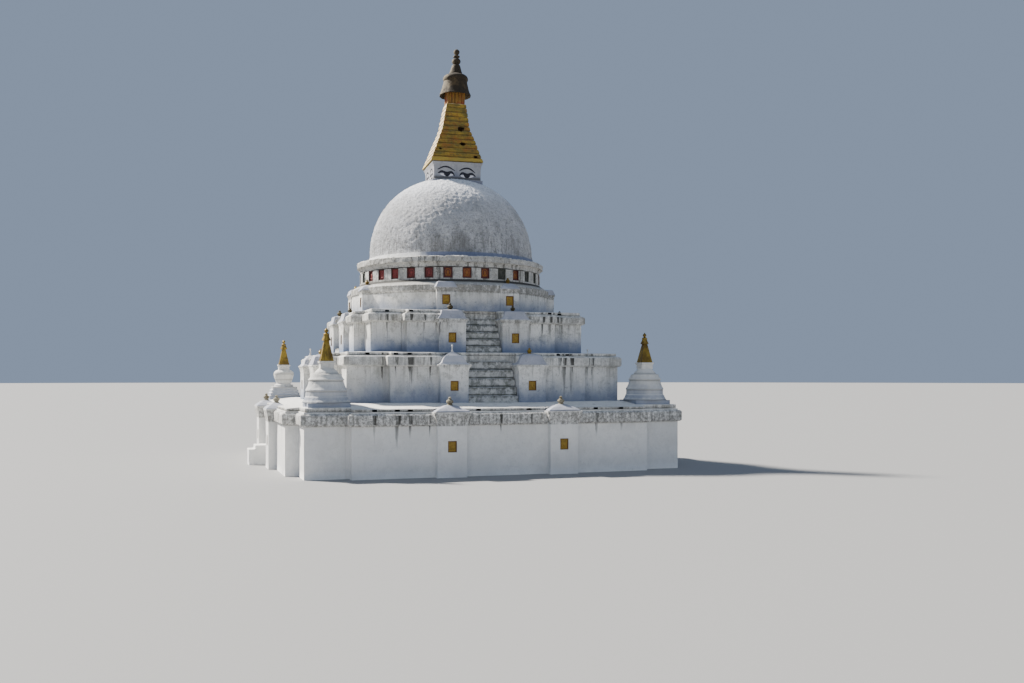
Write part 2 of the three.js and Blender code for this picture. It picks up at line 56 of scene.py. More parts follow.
class Finish:
    """A plaster, stone, paint or gilding, laid coat over coat with patterns in the piece's own space."""

    def __init__(self, name, colour, roughness, metallic=0.0, ground=None):
        self.material = bpy.data.materials.new(name)
        self.material.use_nodes = True
        self.material.diffuse_color = (*colour, 1)
        self.tree = self.material.node_tree
        self.shader = self.tree.nodes["Principled BSDF"].inputs
        self.wire(colour, self.shader["Base Color"])
        self.wire(roughness, self.shader["Roughness"])
        self.wire(metallic, self.shader["Metallic"])
        self.coords = self.tree.nodes.new("ShaderNodeTexCoord").outputs
        self.colour = ground or colour

    def wire(self, value, socket):
        if isinstance(value, bpy.types.NodeSocket):
            self.tree.links.new(value, socket)
        else:
            socket.default_value = (*value, 1) if isinstance(value, tuple) else value

    def calc(self, operation, first, second=0.0, third=0.0):
        node = self.tree.nodes.new("ShaderNodeMath")
        node.operation = operation
        for value, socket in zip((first, second, third), node.inputs):
            self.wire(value, socket)
        return node.outputs[0]

    def times(self, amount, *amounts):
        for factor in amounts:
            amount = self.calc("MULTIPLY", amount, factor)
        return amount

    def axes(self, space):
        """The x, y and z of a place, in Object space, or of the way that its face looks, as Normal."""
        node = self.tree.nodes.new("ShaderNodeSeparateXYZ")
        self.wire(self.coords[space], node.inputs[0])
        return node.outputs

    def cloud(self, scale, detail=4.0, rough=0.6, warp=0.0, squash=None):
        """Noise between 0 and 1; squash scales its pattern (across, up), as runs and boards need."""
        place = self.coords["Object"]
        if squash:
            node = self.tree.nodes.new("ShaderNodeMapping")
            self.wire(place, node.inputs["Vector"])
            node.inputs["Scale"].default_value = (squash[0], squash[0], squash[1])
            place = node.outputs[0]
        node = self.tree.nodes.new("ShaderNodeTexNoise")
        self.wire(place, node.inputs["Vector"])
        for value, name in ((scale, "Scale"), (detail, "Detail"), (rough, "Roughness"),
                            (warp, "Distortion")):
            self.wire(value, node.inputs[name])
        return node.outputs["Fac"]

    def fade(self, value, low, high, to_low=0.0, to_high=1.0):
        """A value eased to the second range, from to_low where it is low to to_high where it is high."""
        node = self.tree.nodes.new("ShaderNodeMapRange")
        node.interpolation_type = "SMOOTHSTEP"
        for number, name in ((value, "Value"), (low, "From Min"), (high, "From Max"), (to_low, "To Min"),
                             (to_high, "To Max")):
            self.wire(number, node.inputs[name])
        return node.outputs["Result"]

    def blots(self, low, high, most, *pattern, least=0.0, squash=None):
        """Blots where a cloud passes from low to high, of a strength between least and most."""
        return self.fade(self.cloud(*pattern, squash=squash), low, high, least, most)

    def sway(self, width, *pattern, squash=None):
        """A cloud that swings by half of width to either side of zero."""
        return self.calc("MULTIPLY_ADD", self.cloud(*pattern, squash=squash), width, -width / 2)

    def marks(self, value, marks, reach):
        """A curve of value that rises to each mark's strength, each (place, half width, strength)."""
        node = self.tree.nodes.new("ShaderNodeValToRGB")
        node.color_ramp.interpolation = "EASE"
        self.wire(self.calc("MULTIPLY_ADD", value, 0.5 / reach, 0.5), node.inputs["Fac"])
        steps = node.color_ramp.elements
        steps[0].color = (0, 0, 0, 1)
        steps[1].color = (0, 0, 0, 1)
        for place, half, strength in marks:
            for offset, height in ((-half, 0), (0, strength), (half, 0)):
                step = steps.new(0.5 + 0.5 * (place + offset) / reach)
                step.color = (height, height, height, 1)
        return node.outputs["Color"]

    def mix(self, amount, under, over):
        node = self.tree.nodes.new("ShaderNodeMix")
        node.data_type = "RGBA"
        for value, socket in ((amount, "Factor"), (under, 6), (over, 7)):
            self.wire(value, node.inputs[socket])
        return node.outputs[2]

    def coat(self, over, *amounts):
        """Lays a colour over the coats so far, as thick as the product of the amounts."""
        self.colour = self.mix(self.times(*amounts), self.colour, over)

    def done(self, height, strength, distance):
        """The finished material, with its relief."""
        node = self.tree.nodes.new("ShaderNodeBump")
        for value, name in ((height, "Height"), (strength, "Strength"), (distance, "Distance")):
            self.wire(value, node.inputs[name])
        self.wire(node.outputs[0], self.shader["Normal"])
        self.wire(self.colour, self.shader["Base Color"])
        return self.material


def whitewash(name, foot, head, drips=(), reach=1.0, run=1.0, bands=(), age=0.5, foot_shade=0.0, grain=0.5,
              soiled=0.95, painted_light_veil=None):
    """Lime wash for one level: painted shade at its foot, streaked from its head, with drips as marks on a
    side.
    """
    wash = Finish(name, LIME, 0.93)
    x, y, z = wash.axes("Object")
    facing = wash.axes("Normal")
    upright = wash.fade(wash.calc("ABSOLUTE", facing[2]), 0.75, 0.45)
    # Broad unevenness of the wash and old patches under it
    wash.coat((0.59, 0.585, 0.56), wash.blots(0.36, 0.64, 1.0, 0.5, 5.0))
    wash.coat(OLD_LIME, wash.blots(0.48, 0.64, age, 1.7, 8.0, 0.7, 0.4))
    for scale in (6.0, 15.0):
        wash.coat((0.22, 0.215, 0.19), wash.blots(0.55, 0.66, grain, scale, 8.0, 0.8))
    # Rain runs, narrow and vertical, strongest under the head
    below = wash.calc("SUBTRACT", head, z)
    fading = wash.fade(below, 0.1, soiled * (head - foot), 1.0, 0.12)
    for scale, low, dark in ((2.6, 0.5, (0.30, 0.29, 0.26)), (6.5, 0.52, (0.16, 0.155, 0.135))):
        runs = wash.blots(low, low + 0.14, 1.0, scale, 6.0, 0.72, squash=(1.0, 0.06))
        wash.coat(dark, runs, fading, upright, age)
    # Painted shade rising at the foot, bluer and darker, with an uneven edge
    ragged = wash.blots(0.25, 0.75, 0.22, 1.1, 5.0, least=-0.22, squash=(1.0, 0.4))
    rise = wash.calc("ADD", wash.calc("SUBTRACT", z, foot), ragged)
    wash.coat(PAINTED_FOOT_SHADE, wash.fade(rise, 0.62 * (head - foot), 0.0, 0.0, foot_shade), upright)
    # A veil over the whole wash: painted light on the plinth, painted shade on the harmika
    if painted_light_veil:
        wash.coat(*painted_light_veil)
    # Tops: bleached, with dust and lichen
    level = wash.fade(facing[2], 0.6, 0.85)
    wash.coat((0.80, 0.79, 0.76), level, 0.6)
    wash.coat((0.30, 0.29, 0.25), level, wash.blots(0.54, 0.66, 0.5, 2.6, 8.0, 0.75))
    for bottom, top, strength, cover, tone in bands:
        # Dark bands: black algae on a projecting band, and painted shade under the tiers of the chortens and
        # at the foot of the harmika
        inside = wash.times(wash.fade(z, bottom - 0.05, bottom + 0.02), wash.fade(z, top + 0.08, top - 0.03))
        fine = wash.times(wash.cloud(7.0, 9.0, 0.82), 0.65)
        algae_and_painted_shade = wash.calc("MULTIPLY_ADD", wash.cloud(7.0, 8.0, 0.75, squash=(1.0, 0.12)), 0.35, fine)
        wash.coat((tone, 0.97 * tone, 0.87 * tone), inside,
                  wash.fade(algae_and_painted_shade, 0.43 - cover, 0.58 - cover, 0.0, strength))
    if drips:
        along = wash.calc("SUBTRACT", wash.times(y, wash.calc("ROUND", facing[0])),
                          wash.times(x, wash.calc("ROUND", facing[1])))
        wander = wash.sway(0.12, 2.2, squash=(0.5, 1.0))
        marks = wash.marks(wash.calc("ADD", along, wander), drips, reach)
        # Every mark breaks up into threads that end at different heights
        threads = (1.0, 0.025)
        uneven = wash.blots(0.36, 0.6, 1.7 * run, 5.0, 4.0, 0.7, least=0.5, squash=threads)
        left_over = wash.calc("SUBTRACT", wash.times(marks, uneven), below)
        wash.coat(ALGAE, wash.fade(left_over, 0.0, 0.4),
                  wash.blots(0.42, 0.56, 1.0, 9.5, 4.0, 0.7, least=0.48, squash=threads),
                  wash.fade(below, 0.1, run, 1.0, 0.6), wash.fade(below, -0.02, 0.03), upright)
    lumps = wash.calc("ADD", wash.cloud(3.0, 9.0, 0.65), wash.times(wash.cloud(14.0, 6.0, 0.7), 0.3))
    return wash.done(lumps, strength=0.85, distance=0.05)


def grab(piece):
    """Selects a piece alone."""
    bpy.ops.object.select_all(action="DESELECT")
    piece.select_set(True)
    bpy.context.view_layer.objects.active = piece


def open_mesh(piece):
    """Opens a piece in edit mode with all of it selected."""
    grab(piece)
    bpy.ops.object.mode_set(mode="EDIT")
    bpy.ops.mesh.select_mode(type="VERT")
    bpy.ops.mesh.select_all(action="SELECT")


def smooth(piece, angle):
    grab(piece)
    bpy.ops.object.shade_smooth_by_angle(angle=math.radians(angle))


def portion(value):
    """Holds a value between 0 and 1."""
    return min(1.0, max(0.0, value))


def bring_in(name, data):
    piece = bpy.data.objects.new(name, data)
    bpy.context.scene.collection.objects.link(piece)
    return piece


def settle(piece, finish, slot, *nodes, inside=None):
    """Gives a finished piece its finish, sets it under the root and hides the solids it stands for; slot is
    not used.
    """
    cut_faces = [face.material_index for face in piece.data.polygons]
    piece.data.materials.clear()
    piece.data.materials.append(finish)
    if inside:
        piece.data.materials.append(inside)
        piece.data.polygons.foreach_set("material_index", cut_faces)
    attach(piece, "root")
    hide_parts(*nodes)


def cast(node, name):
    """A copy of a solid as one clean closed mesh of whole faces."""
    piece = bring_in(name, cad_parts[node].data.copy())
    open_mesh(piece)
    bpy.ops.mesh.remove_doubles(threshold=0.0005)
    bpy.ops.mesh.dissolve_limited(angle_limit=math.radians(0.5))
    bpy.ops.object.mode_set(mode="OBJECT")
    return piece


def round_off(piece, width, segments=2, angle=28):
    """Rounds the arrises, as a plasterer's float does."""
    grab(piece)
    edge = piece.modifiers.new("arris", "BEVEL")
    edge.width = width
    edge.segments = segments
    edge.limit_method = "ANGLE"
    edge.angle_limit = math.radians(angle)
    bpy.ops.object.modifier_apply(modifier=edge.name)


def add(primitive, scale=(1, 1, 1), **sizes):
    """Adds a primitive at its size and place, and leaves its object unturned at the origin."""
    bpy.ops.object.select_all(action="DESELECT")
    primitive(**sizes)
    piece = bpy.context.object
    piece.scale = scale
    bpy.ops.object.transform_apply(location=True, rotation=True, scale=True)
    return piece


def box(low, high):
    """A plain box between two corners."""
    size = [big - small for small, big in zip(low, high)]
    middle = [(big + small) / 2 for small, big in zip(low, high)]
    return add(bpy.ops.mesh.primitive_cube_add, size, size=1, location=middle)


def subtract(piece, cutters):
    """Cuts the cutters out of a piece one by one; the cut faces take the second material."""
    for cutter in cutters:
        cutter.data.polygons.foreach_set("material_index", [1] * len(cutter.data.polygons))
        grab(piece)
        cut = piece.modifiers.new("cut", "BOOLEAN")
        cut.operation = "DIFFERENCE"
        cut.solver = "EXACT"
        cut.object = cutter
        bpy.ops.object.modifier_apply(modifier=cut.name)
        bpy.data.objects.remove(cutter)


def weather(piece, span, depth, angle=35, spokes=0, lumps=4.0):
    """Cuts the faces on a grid, or on spokes for round work, and sinks them unevenly by up to depth."""
    mesh = bmesh.new()
    mesh.from_mesh(piece.data)
    cuts = []
    for axis in range(2 if spokes else 0, 3):
        places = [point.co[axis] for point in mesh.verts]
        low, high = min(places), max(places)
        way = Vector([float(axis == other) for other in range(3)])
        count = math.ceil((high - low) / span)
        cuts += [(way * (low + (high - low) * step / count), way) for step in range(1, count)]
    for spoke in range(spokes // 2):
        turn = (spoke + 0.5) * 2 * math.pi / spokes
        cuts.append((Vector((0, 0, 0)), Vector((math.cos(turn), math.sin(turn), 0))))
    for place, way in cuts:
        bmesh.ops.bisect_plane(mesh, geom=mesh.verts[:] + mesh.edges[:] + mesh.faces[:], dist=0.0005,
                               plane_co=place, plane_no=way)
    mesh.normal_update()
    for point in mesh.verts:
        on_ground = point.co.z < 0.001
        broad = noise.noise(point.co * 0.9)
        fine = noise.noise(point.co * lumps)
        point.co -= point.normal * (depth * portion(0.5 + 0.5 * broad + 0.6 * fine))
        if on_ground:
            point.co.z = 0.0
    mesh.to_mesh(piece.data)
    mesh.free()
    smooth(piece, angle)


def masonry(node, name, finish, arris=0.03, span=0.4, depth=0.014, slot="whitewash", spokes=0, trim=(),
            lumps=4.0):
    """A solid with its arrises rounded and its faces worn uneven; what is in trim is cut off it first."""
    piece = cast(node, name)
    subtract(piece, trim)
    round_off(piece, arris)
    for point in piece.data.vertices:
        # A foot that stands on the ground stays flat
        if point.co.z < arris * 1.02:
            point.co.z = 0.0
    weather(piece, span, depth, spokes=spokes, lumps=lumps)
    settle(piece, finish, slot, node)
    return piece


# A level's shrines: place along the side, centre line, crown half width, depth share, crown top
Shrines = namedtuple("Shrines", "at centre half share top")
SHRINES = {"plinth": Shrines(2.65, 9.49, 0.86, 0.66, 2.89)}


def above_crowns(turn, shrines, wall, slab_foot):
    """Boxes over the crowns of a side's two shrines, where their roofs stand as pieces of their own."""
    boxes = []
    back, roof_top = shrines.half - shrines.centre, shrines.top + 1
    for place in (-shrines.at, shrines.at):
        low, high = place - shrines.half - 0.01, place + shrines.half + 0.01
        boxes.append(box((low, -shrines.centre - shrines.half, shrines.top), (high, -wall, roof_top)))
        boxes.append(box((low, -wall - 0.05, slab_foot), (high, back, roof_top)))
    for piece in boxes:
        piece.data.transform(turn)
    return boxes


def square_level(level, wash, wall, slab_foot):
    """The core of a square level and its four bays."""
    masonry(f"{level}_core", f"{level}_core_plaster", wash)
    for side, turn in SIDE_TURNS.items():
        masonry(f"{level}_bay_{side}", f"{level}_bay_plaster_{side}", wash,
                trim=above_crowns(turn, SHRINES[level], wall, slab_foot))


PLINTH_DRIPS = [(-6.05, 0.16, 0.7), (-5.04, 0.2, 0.85), (-4.46, 0.16, 0.8), (-3.57, 0.1, 0.6),
                (-1.32, 0.09, 0.7), (-0.29, 0.12, 0.55), (1.1, 0.1, 0.6), (4.4, 0.15, 0.7), (5.7, 0.14, 0.8)]
# Its veil is painted light: it pales the whole wash, as light thrown up from the ground would
plinth_wash = whitewash("plinth_lime_wash", 0.0, 2.85, drips=PLINTH_DRIPS, reach=9.0, run=1.3,
                        bands=[(2.29, 2.83, 0.88, 0.02, 0.15)], age=0.45, foot_shade=0.2, grain=0.42, soiled=0.4,
                        painted_light_veil=((0.88, 0.875, 0.855), 0.5))
square_level("plinth", plinth_wash, wall=9.575, slab_foot=2.915)

# Foot step
# A low block of two steps against the left side of the plinth, built of rubble, thickly plastered and
# washed together with the wall.
masonry("left_foot_step", "foot_step_plaster", plinth_wash, arris=0.035, span=0.2, depth=0.02)

# Copings
# A slab of lime concrete finishes each level and carries the rain to small square drains, whose
# mouths show as dark holes in its edge. It is laid a little behind the wall face.
PLINTH_TOP = 3.15
PLINTH_DRAINS = [-6.02, -5.01, -4.44, -1.32, 1.1, 4.4, 5.7]
DRAIN_DEPTH = 0.45


def gather(parts):
    """Joins the parts into the first one."""
    grab(parts[0])
    for part in parts:
        part.select_set(True)
    bpy.ops.object.join()
    return parts[0]


def pierce(piece, drains, face, bottom, height, width=0.2):
    """Cuts the mouths of the drains into the edge of a coping on all four sides."""
    mouths = []
    for turn in SIDE_TURNS.values():
        for place in drains:
            mouth = box((place - width / 2, -face - DRAIN_DEPTH, bottom),
                        (place + width / 2, -face + DRAIN_DEPTH, bottom + height))
            mouth.data.transform(turn)
            mouths.append(mouth)
    subtract(piece, [gather(mouths)])


def slope_top(piece, above, inner, outer, rise, drop):
    """Tilts the top of a coping outward, from rise higher at the inner wall to drop lower at its edge."""
    for point in piece.data.vertices:
        if point.co.z > above:
            out = max(abs(point.co.x), abs(point.co.y))
            share = portion((out - inner) / (outer - inner))
            point.co.z += rise * (1 - share) - drop * share


soot = Finish("drain_algae", (0.02, 0.02, 0.018), 1.0)
drain_soot = soot.done(soot.cloud(12.0), strength=0.5, distance=0.02)
plinth_slab_wash = whitewash("plinth_coping_wash", 2.0, PLINTH_TOP, drips=PLINTH_DRIPS, reach=9.0, run=0.5,
                             bands=[(2.9, 3.0, 0.85, 0.02, 0.14)], age=0.85, grain=0.8)
plinth_coping = cast("plinth_coping", "plinth_coping_slab")
round_off(plinth_coping, 0.04)
weather(plinth_coping, 0.3, 0.02)
slope_top(plinth_coping, above=3.08, inner=7.6, outer=9.5, rise=0.1, drop=0.11)
pierce(plinth_coping, PLINTH_DRAINS, face=9.5, bottom=2.925, height=0.09, width=0.22)
settle(plinth_coping, plinth_slab_wash, "whitewash", "plinth_coping", inside=drain_soot)

# Terraces 1 and 2
# Two smaller levels of the same plastered masonry. Each side has a bay with two shrines, a corbelled
# band under the coping, and drains that have stained it black.
TERRACE_1_TOP = 5.58
TERRACE_2_TOP = 7.65
TERRACE_1_DRIPS = [(-5.1, 0.12, 0.8), (-4.57, 0.14, 0.62), (-3.91, 0.2, 0.95), (-2.97, 0.09, 0.7),
                   (3.45, 0.12, 0.75), (3.74, 0.16, 0.95), (4.1, 0.14, 0.9), (5.13, 0.12, 0.85),
                   (5.42, 0.12, 0.8)]
TERRACE_2_DRIPS = [(-3.58, 0.12, 0.7), (-2.9, 0.08, 0.5), (-2.25, 0.12, 0.75), (3.11, 0.11, 0.85),
                   (3.5, 0.1, 0.8), (3.91, 0.13, 0.95), (4.23, 0.12, 0.9), (-4.6, 0.12, 0.7)]
SHRINES["terrace_1"] = Shrines(1.92, 7.25, 0.805, 0.66, 5.0)
SHRINES["terrace_2"] = Shrines(1.60, 5.73, 0.79, 0.66, 7.22)
terrace_washes = {
    "terrace_1": whitewash("terrace_1_lime_wash", 3.22, 5.44, drips=TERRACE_1_DRIPS, reach=8.0, run=1.6,
                           bands=[(4.92, 5.42, 0.45, 0.0, 0.14)], age=0.75, foot_shade=0.78, grain=0.7,
                           soiled=0.7),
    "terrace_2": whitewash("terrace_2_lime_wash", 5.58, 7.5, drips=TERRACE_2_DRIPS, reach=7.0, run=1.4,
                           bands=[(7.05, 7.48, 0.65, 0.0, 0.14)], age=0.95, foot_shade=0.92, grain=0.9,
                           soiled=0.9),
}
for level, top, slab_band, drips, reach, drains, face, corner_drains, corner_face, bottom, wall, inner in (
    ("terrace_1", TERRACE_1_TOP, (5.4, 5.5), TERRACE_1_DRIPS, 8.0, [-4.57, -3.93, 3.45, 3.92], 7.17,
     [-5.81], 6.74, 5.465, 7.385, 5.9),
    ("terrace_2", TERRACE_2_TOP, (7.5, 7.57), TERRACE_2_DRIPS, 7.0, [-3.55, 3.5], 5.88,
     [-4.6, 4.23], 5.36, 7.545, 6.095, 5.2),
):
    square_level(level, terrace_washes[level], wall, slab_foot=bottom - 0.01)
    slab_wash = whitewash(f"{level}_coping_wash", 2.0, top, drips=drips, reach=reach, run=0.4,
                          bands=[(*slab_band, 0.8, 0.0, 0.14)], age=0.8, grain=0.8)
    coping = cast(f"{level}_coping", f"{level}_coping_slab")
    round_off(coping, 0.03)
    weather(coping, 0.3, 0.016)
    pierce(coping, drains, face, bottom, height=0.08)
    pierce(coping, corner_drains, corner_face, bottom, height=0.08)
    slope_top(coping, bottom + 0.08, inner, face, rise=0.05, drop=0.0)
    settle(coping, slab_wash, "whitewash", f"{level}_coping", inside=drain_soot)

# Stairs
# Six high risers of dressed stone between the shrines of each side. The wash has worn off them, and
# moss and black algae grow where the water stands at the foot of every riser.


def worn_stone(name, base, rise):
    """The stone of a flight that starts at base and climbs by rise at every step."""
    stone = Finish(name, (0.36, 0.36, 0.33), 0.95, ground=(0.22, 0.225, 0.215))
    upright = stone.fade(stone.calc("ABSOLUTE", stone.axes("Normal")[2]), 0.75, 0.45)
    stone.coat((0.44, 0.445, 0.435), stone.blots(0.42, 0.6, 1.0, 1.7, 8.0, 0.72, 0.5))
    stone.coat((0.56, 0.565, 0.56), stone.blots(0.47, 0.57, 0.8, 3.1, 7.0, 0.7))
    # Dark water marks that hang from the edge of every tread
    climb = stone.calc("DIVIDE", stone.calc("SUBTRACT", stone.axes("Object")[2], base), rise)
    part = stone.calc("FRACT", stone.calc("ADD", climb, 0.02))
    hanging = stone.calc("ADD", part, stone.sway(1.5, 7.0, 7.0, 0.75, squash=(1.0, 0.12)))
    stone.coat((0.07, 0.07, 0.058), stone.fade(hanging, 0.65, 1.0, 0.0, 0.8), upright)
    foot = stone.calc("ADD", part, stone.sway(0.3, 3.0))
    stone.coat((0.055, 0.06, 0.05), stone.fade(foot, 0.3, 0.08, 0.0, 0.9), upright)
    stone.coat((0.12, 0.135, 0.07), stone.blots(0.55, 0.68, 0.35, 2.2, 6.0, 0.7))
    return stone.done(stone.cloud(5.0, 10.0, 0.68), strength=0.9, distance=0.06)


for level, base, rise in ((1, PLINTH_TOP, 0.405), (2, TERRACE_1_TOP, 0.345)):
    stair_stone = worn_stone(f"terrace_{level}_stair_stone", base, rise)
    for side in SIDES:
        masonry(f"terrace_{level}_stair_{side}", f"terrace_{level}_worn_stair_{side}", stair_stone,
                arris=0.035, span=0.13, depth=0.045, slot="stair_stone")

# Terrace 3
# The round level under the drum, plastered like the rest, with a sloped shoulder that throws the rain
# off and a pair of nearly flush shrines on each side.
TERRACE_3_BANDS = [(8.6, 9.0, 0.8, 0.04, 0.15), (9.04, 9.18, 0.62, 0.1, 0.12), (9.14, 9.4, 0.96, 0.2, 0.03)]
SHRINES["terrace_3"] = Shrines(1.64, 4.86, 0.545, 0.71, 8.82)
terrace_3_wash = whitewash("terrace_3_lime_wash", 7.65, 9.05, bands=TERRACE_3_BANDS, age=0.9, foot_shade=0.7,
                           grain=0.85, soiled=0.7)
masonry("terrace_3", "terrace_3_plaster", terrace_3_wash, arris=0.02, span=0.2, depth=0.02, spokes=160)

# Shrine roofs
# Every shrine is closed by a small roof of smooth cement, cast on its flared crown; its lilac grey is
# grey cement with painted sky light. The plinth has low hips, terrace 1 a washed point on the left and
# a rounded cap on the right. Those of terrace 2 and the left ones of terrace 3 are cut off flat, and its
# right ones are low hips again.
HANDS = {"left": -1, "right": 1}
# Grey cement, tinted lilac: painted sky light
SKY_TINTED_CEMENT = (0.39, 0.40, 0.455)


def smooth_cement(name, washed):
    """Roof cement with as much old whitewash left on it as washed says."""
    cement = Finish(name, SKY_TINTED_CEMENT, 0.85)
    cement.coat((0.31, 0.325, 0.375), cement.blots(0.35, 0.65, 1.0, 1.3, 5.0))
    cement.coat((0.56, 0.565, 0.60), cement.blots(0.52, 0.66, washed + 0.4, 4.0, 7.0, 0.72, least=washed))
    cement.coat((0.15, 0.15, 0.15), cement.blots(0.56, 0.68, 0.55, 5.0, 7.0, 0.75, squash=(1.0, 0.3)))
    return cement.done(cement.cloud(6.0, 7.0, 0.6), strength=0.45, distance=0.025)


def extrude(*way):
    bpy.ops.mesh.extrude_region_move(TRANSFORM_OT_translate={"value": way})


def close_mesh(gap=0.00001):
    """Merges what meets, turns the faces outwards and leaves edit mode."""
    bpy.ops.mesh.select_all(action="SELECT")
    bpy.ops.mesh.remove_doubles(threshold=gap)
    bpy.ops.mesh.normals_make_consistent(inside=False)
    bpy.ops.object.mode_set(mode="OBJECT")


def turned(name, profile, segments):
    """A turned form from a profile of (radius, height), extruded one ring after another."""
    radius, height = profile[0]
    piece = add(bpy.ops.mesh.primitive_circle_add, vertices=segments, radius=radius, fill_type="NGON",
                location=(0, 0, height))
    piece.name = name
    open_mesh(piece)
    for next_radius, next_height in profile[1:]:
        extrude(0, 0, next_height - height)
        grow = next_radius / radius
        bpy.ops.transform.resize(value=(grow, grow, 1), center_override=(0, 0, next_height))
        radius, height = next_radius, next_height
    close_mesh(0.0002)
    return piece


def squared(name, profile, yaw=0.0):
    """The same with four corners, its profile given as half widths."""
    piece = turned(name, [(half * math.sqrt(2), height) for half, height in profile], 4)
    corner = piece.data.vertices[0].co
    piece.data.transform(Matrix.Rotation(math.pi / 4 - math.atan2(corner.y, corner.x) + yaw, 4, "Z"))
    return piece


def set_copy(pattern, name, at):
    """A copy of a pattern piece with its own mesh, placed by a matrix."""
    piece = bring_in(name, pattern.data.copy())
    piece.data.transform(at)
    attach(piece, "root")


def set_at_shrines(pattern, level, kind, hands=HANDS, sides=SIDES, out=None, up=0.0):
    """Sets copies of a pattern at a level's shrines, out from the axis and up, and removes the pattern."""
    shrines = SHRINES[level]
    for side in sides:
        for hand in hands:
            shift = Matrix.Translation((HANDS[hand] * shrines.at, -(out or shrines.centre), up))
            set_copy(pattern, f"{level}_{kind}_{side}_{hand}", SIDE_TURNS[side] @ shift)
    bpy.data.objects.remove(pattern)


POINTED = [(0.69, 5.0), (0.725, 5.03), (0.68, 5.07), (0.61, 5.12), (0.57, 5.19), (0.535, 5.27), (0.47, 5.36),
           (0.37, 5.44), (0.24, 5.51), (0.13, 5.57), (0.07, 5.62), (0.045, 5.68)]
ROUNDED = [(0.71, 5.0), (0.74, 5.03), (0.71, 5.08), (0.66, 5.17), (0.61, 5.27), (0.56, 5.37), (0.50, 5.45),
           (0.40, 5.51), (0.22, 5.55), (0.07, 5.57)]
CUT_OFF = [(0.70, 7.22), (0.73, 7.245), (0.69, 7.29), (0.61, 7.38), (0.55, 7.49), (0.52, 7.60),
           (0.485, 7.645), (0.38, 7.67), (0.10, 7.68)]
LOW_CUT = [(0.50, 8.79), (0.56, 8.825), (0.53, 8.87), (0.48, 8.96), (0.44, 9.06), (0.41, 9.10),
           (0.34, 9.125), (0.10, 9.135)]
LOW_HIP = [(0.50, 8.79), (0.56, 8.825), (0.52, 8.87), (0.42, 8.96), (0.30, 9.05), (0.18, 9.11),
           (0.08, 9.135)]
WIDE_HIP = [(0.77, 2.88), (0.81, 2.905), (0.75, 2.955), (0.56, 3.05), (0.38, 3.12), (0.26, 3.17),
            (0.12, 3.20)]
roof_cement = smooth_cement("shrine_roof_cement", 0.0)
washed_cement = smooth_cement("washed_roof_cement", 0.6)
for level, *profiles in (
    ("plinth", WIDE_HIP, WIDE_HIP), ("terrace_1", POINTED, ROUNDED), ("terrace_2", CUT_OFF, CUT_OFF),
    ("terrace_3", LOW_CUT, LOW_HIP),
):
    for hand, profile in zip(HANDS, profiles):
        roof = squared("roof_pattern", profile)
        roof.data.transform(Matrix.Diagonal((1, SHRINES[level].share + 0.04, 1, 1)))
        round_off(roof, 0.03, segments=3, angle=20)
        weather(roof, 0.09, 0.02, angle=40)
        roof.data.materials.append(washed_cement if profile is POINTED else roof_cement)
        set_at_shrines(roof, level, "shrine_roof", hands=[hand])

# Shrine crowns
# Beside the stairs the plastered crowns of the shrines flare out over the steps as far as they do in
# front. Each is a cavetto of lime plaster with a sharp lip, on which the roof sits a little behind.
SHRINE_HALF = 0.68
for level, flare, eaves in (("terrace_1", 4.65, 4.97), ("terrace_2", 6.89, 7.19)):
    half = SHRINES[level].half
    out = half - SHRINE_HALF
    rise = eaves - flare
    crown = squared("crown_pattern", [
        (SHRINE_HALF - 0.05, flare - 0.03), (SHRINE_HALF + 0.004, flare),
        (SHRINE_HALF + 0.2 * out, flare + 0.4 * rise), (SHRINE_HALF + 0.5 * out, flare + 0.72 * rise),
        (half + 0.012, eaves - 0.02), (half + 0.016, eaves + 0.025), (half - 0.02, eaves + 0.05),
        (half - 0.12, eaves + 0.06),
    ])
    crown.data.transform(Matrix.Diagonal((1, SHRINES[level].share, 1, 1)))
    round_off(crown, 0.012, angle=20)
    weather(crown, 0.09, 0.012, angle=40)
    crown.data.materials.append(terrace_washes[level])
    set_at_shrines(crown, level, "shrine_crown")

# Drum
# A low round wall with thirty-two small niches for painted slabs, closed by a thick cornice of
# rendered stone whose coarse face has weathered grey.
drum_wash = whitewash("drum_lime_wash", 9.1, 9.95, bands=[(9.2, 9.27, 0.96, 0.2, 0.04)], age=0.95, foot_shade=0.35,
                      grain=0.8)
render = Finish("drum_cornice_render_coat", (0.50, 0.47, 0.41), 0.97, ground=(0.57, 0.565, 0.54))
render.coat((0.41, 0.405, 0.38), render.blots(0.38, 0.62, 1.0, 1.2, 6.0, 0.65))
for scale in (9.0, 19.0):
    render.coat((0.18, 0.175, 0.16), render.blots(0.51, 0.61, 0.65, scale, 8.0, 0.8))
render.coat((0.10, 0.095, 0.082), render.blots(0.52, 0.61, 0.8, 3.4, 7.0, 0.74, squash=(1.0, 0.15)))
render.coat((0.66, 0.64, 0.59), render.blots(0.54, 0.64, 0.65, 4.0, 8.0, 0.76))
render.coat((0.74, 0.73, 0.70), render.fade(render.axes("Normal")[2], 0.5, 0.85, 0.0, 0.7))
cornice_render = render.done(render.cloud(5.5, 9.0, 0.7), strength=1.0, distance=0.08)
masonry("drum_core", "drum_core_plaster", drum_wash, arris=0.01, span=0.5, depth=0.006, spokes=64)
for side in SIDES:
    masonry(f"drum_niche_wall_{side}", f"drum_niche_plaster_{side}", cornice_render, arris=0.012, span=0.15,
            depth=0.02, spokes=192)
masonry("drum_cornice", "drum_cornice_render", cornice_render, arris=0.025, span=0.08, depth=0.08,
        spokes=400, lumps=6.5)

# Niche images
# Small slabs set in every niche: a field with a jewel on a lotus seat in low relief, painted ochre in
# the shrines and red, orange or dark round the drum. Each sits in a narrow painted frame.
LOTUS_PETALS = 7
SLAB_RECESS = 0.05


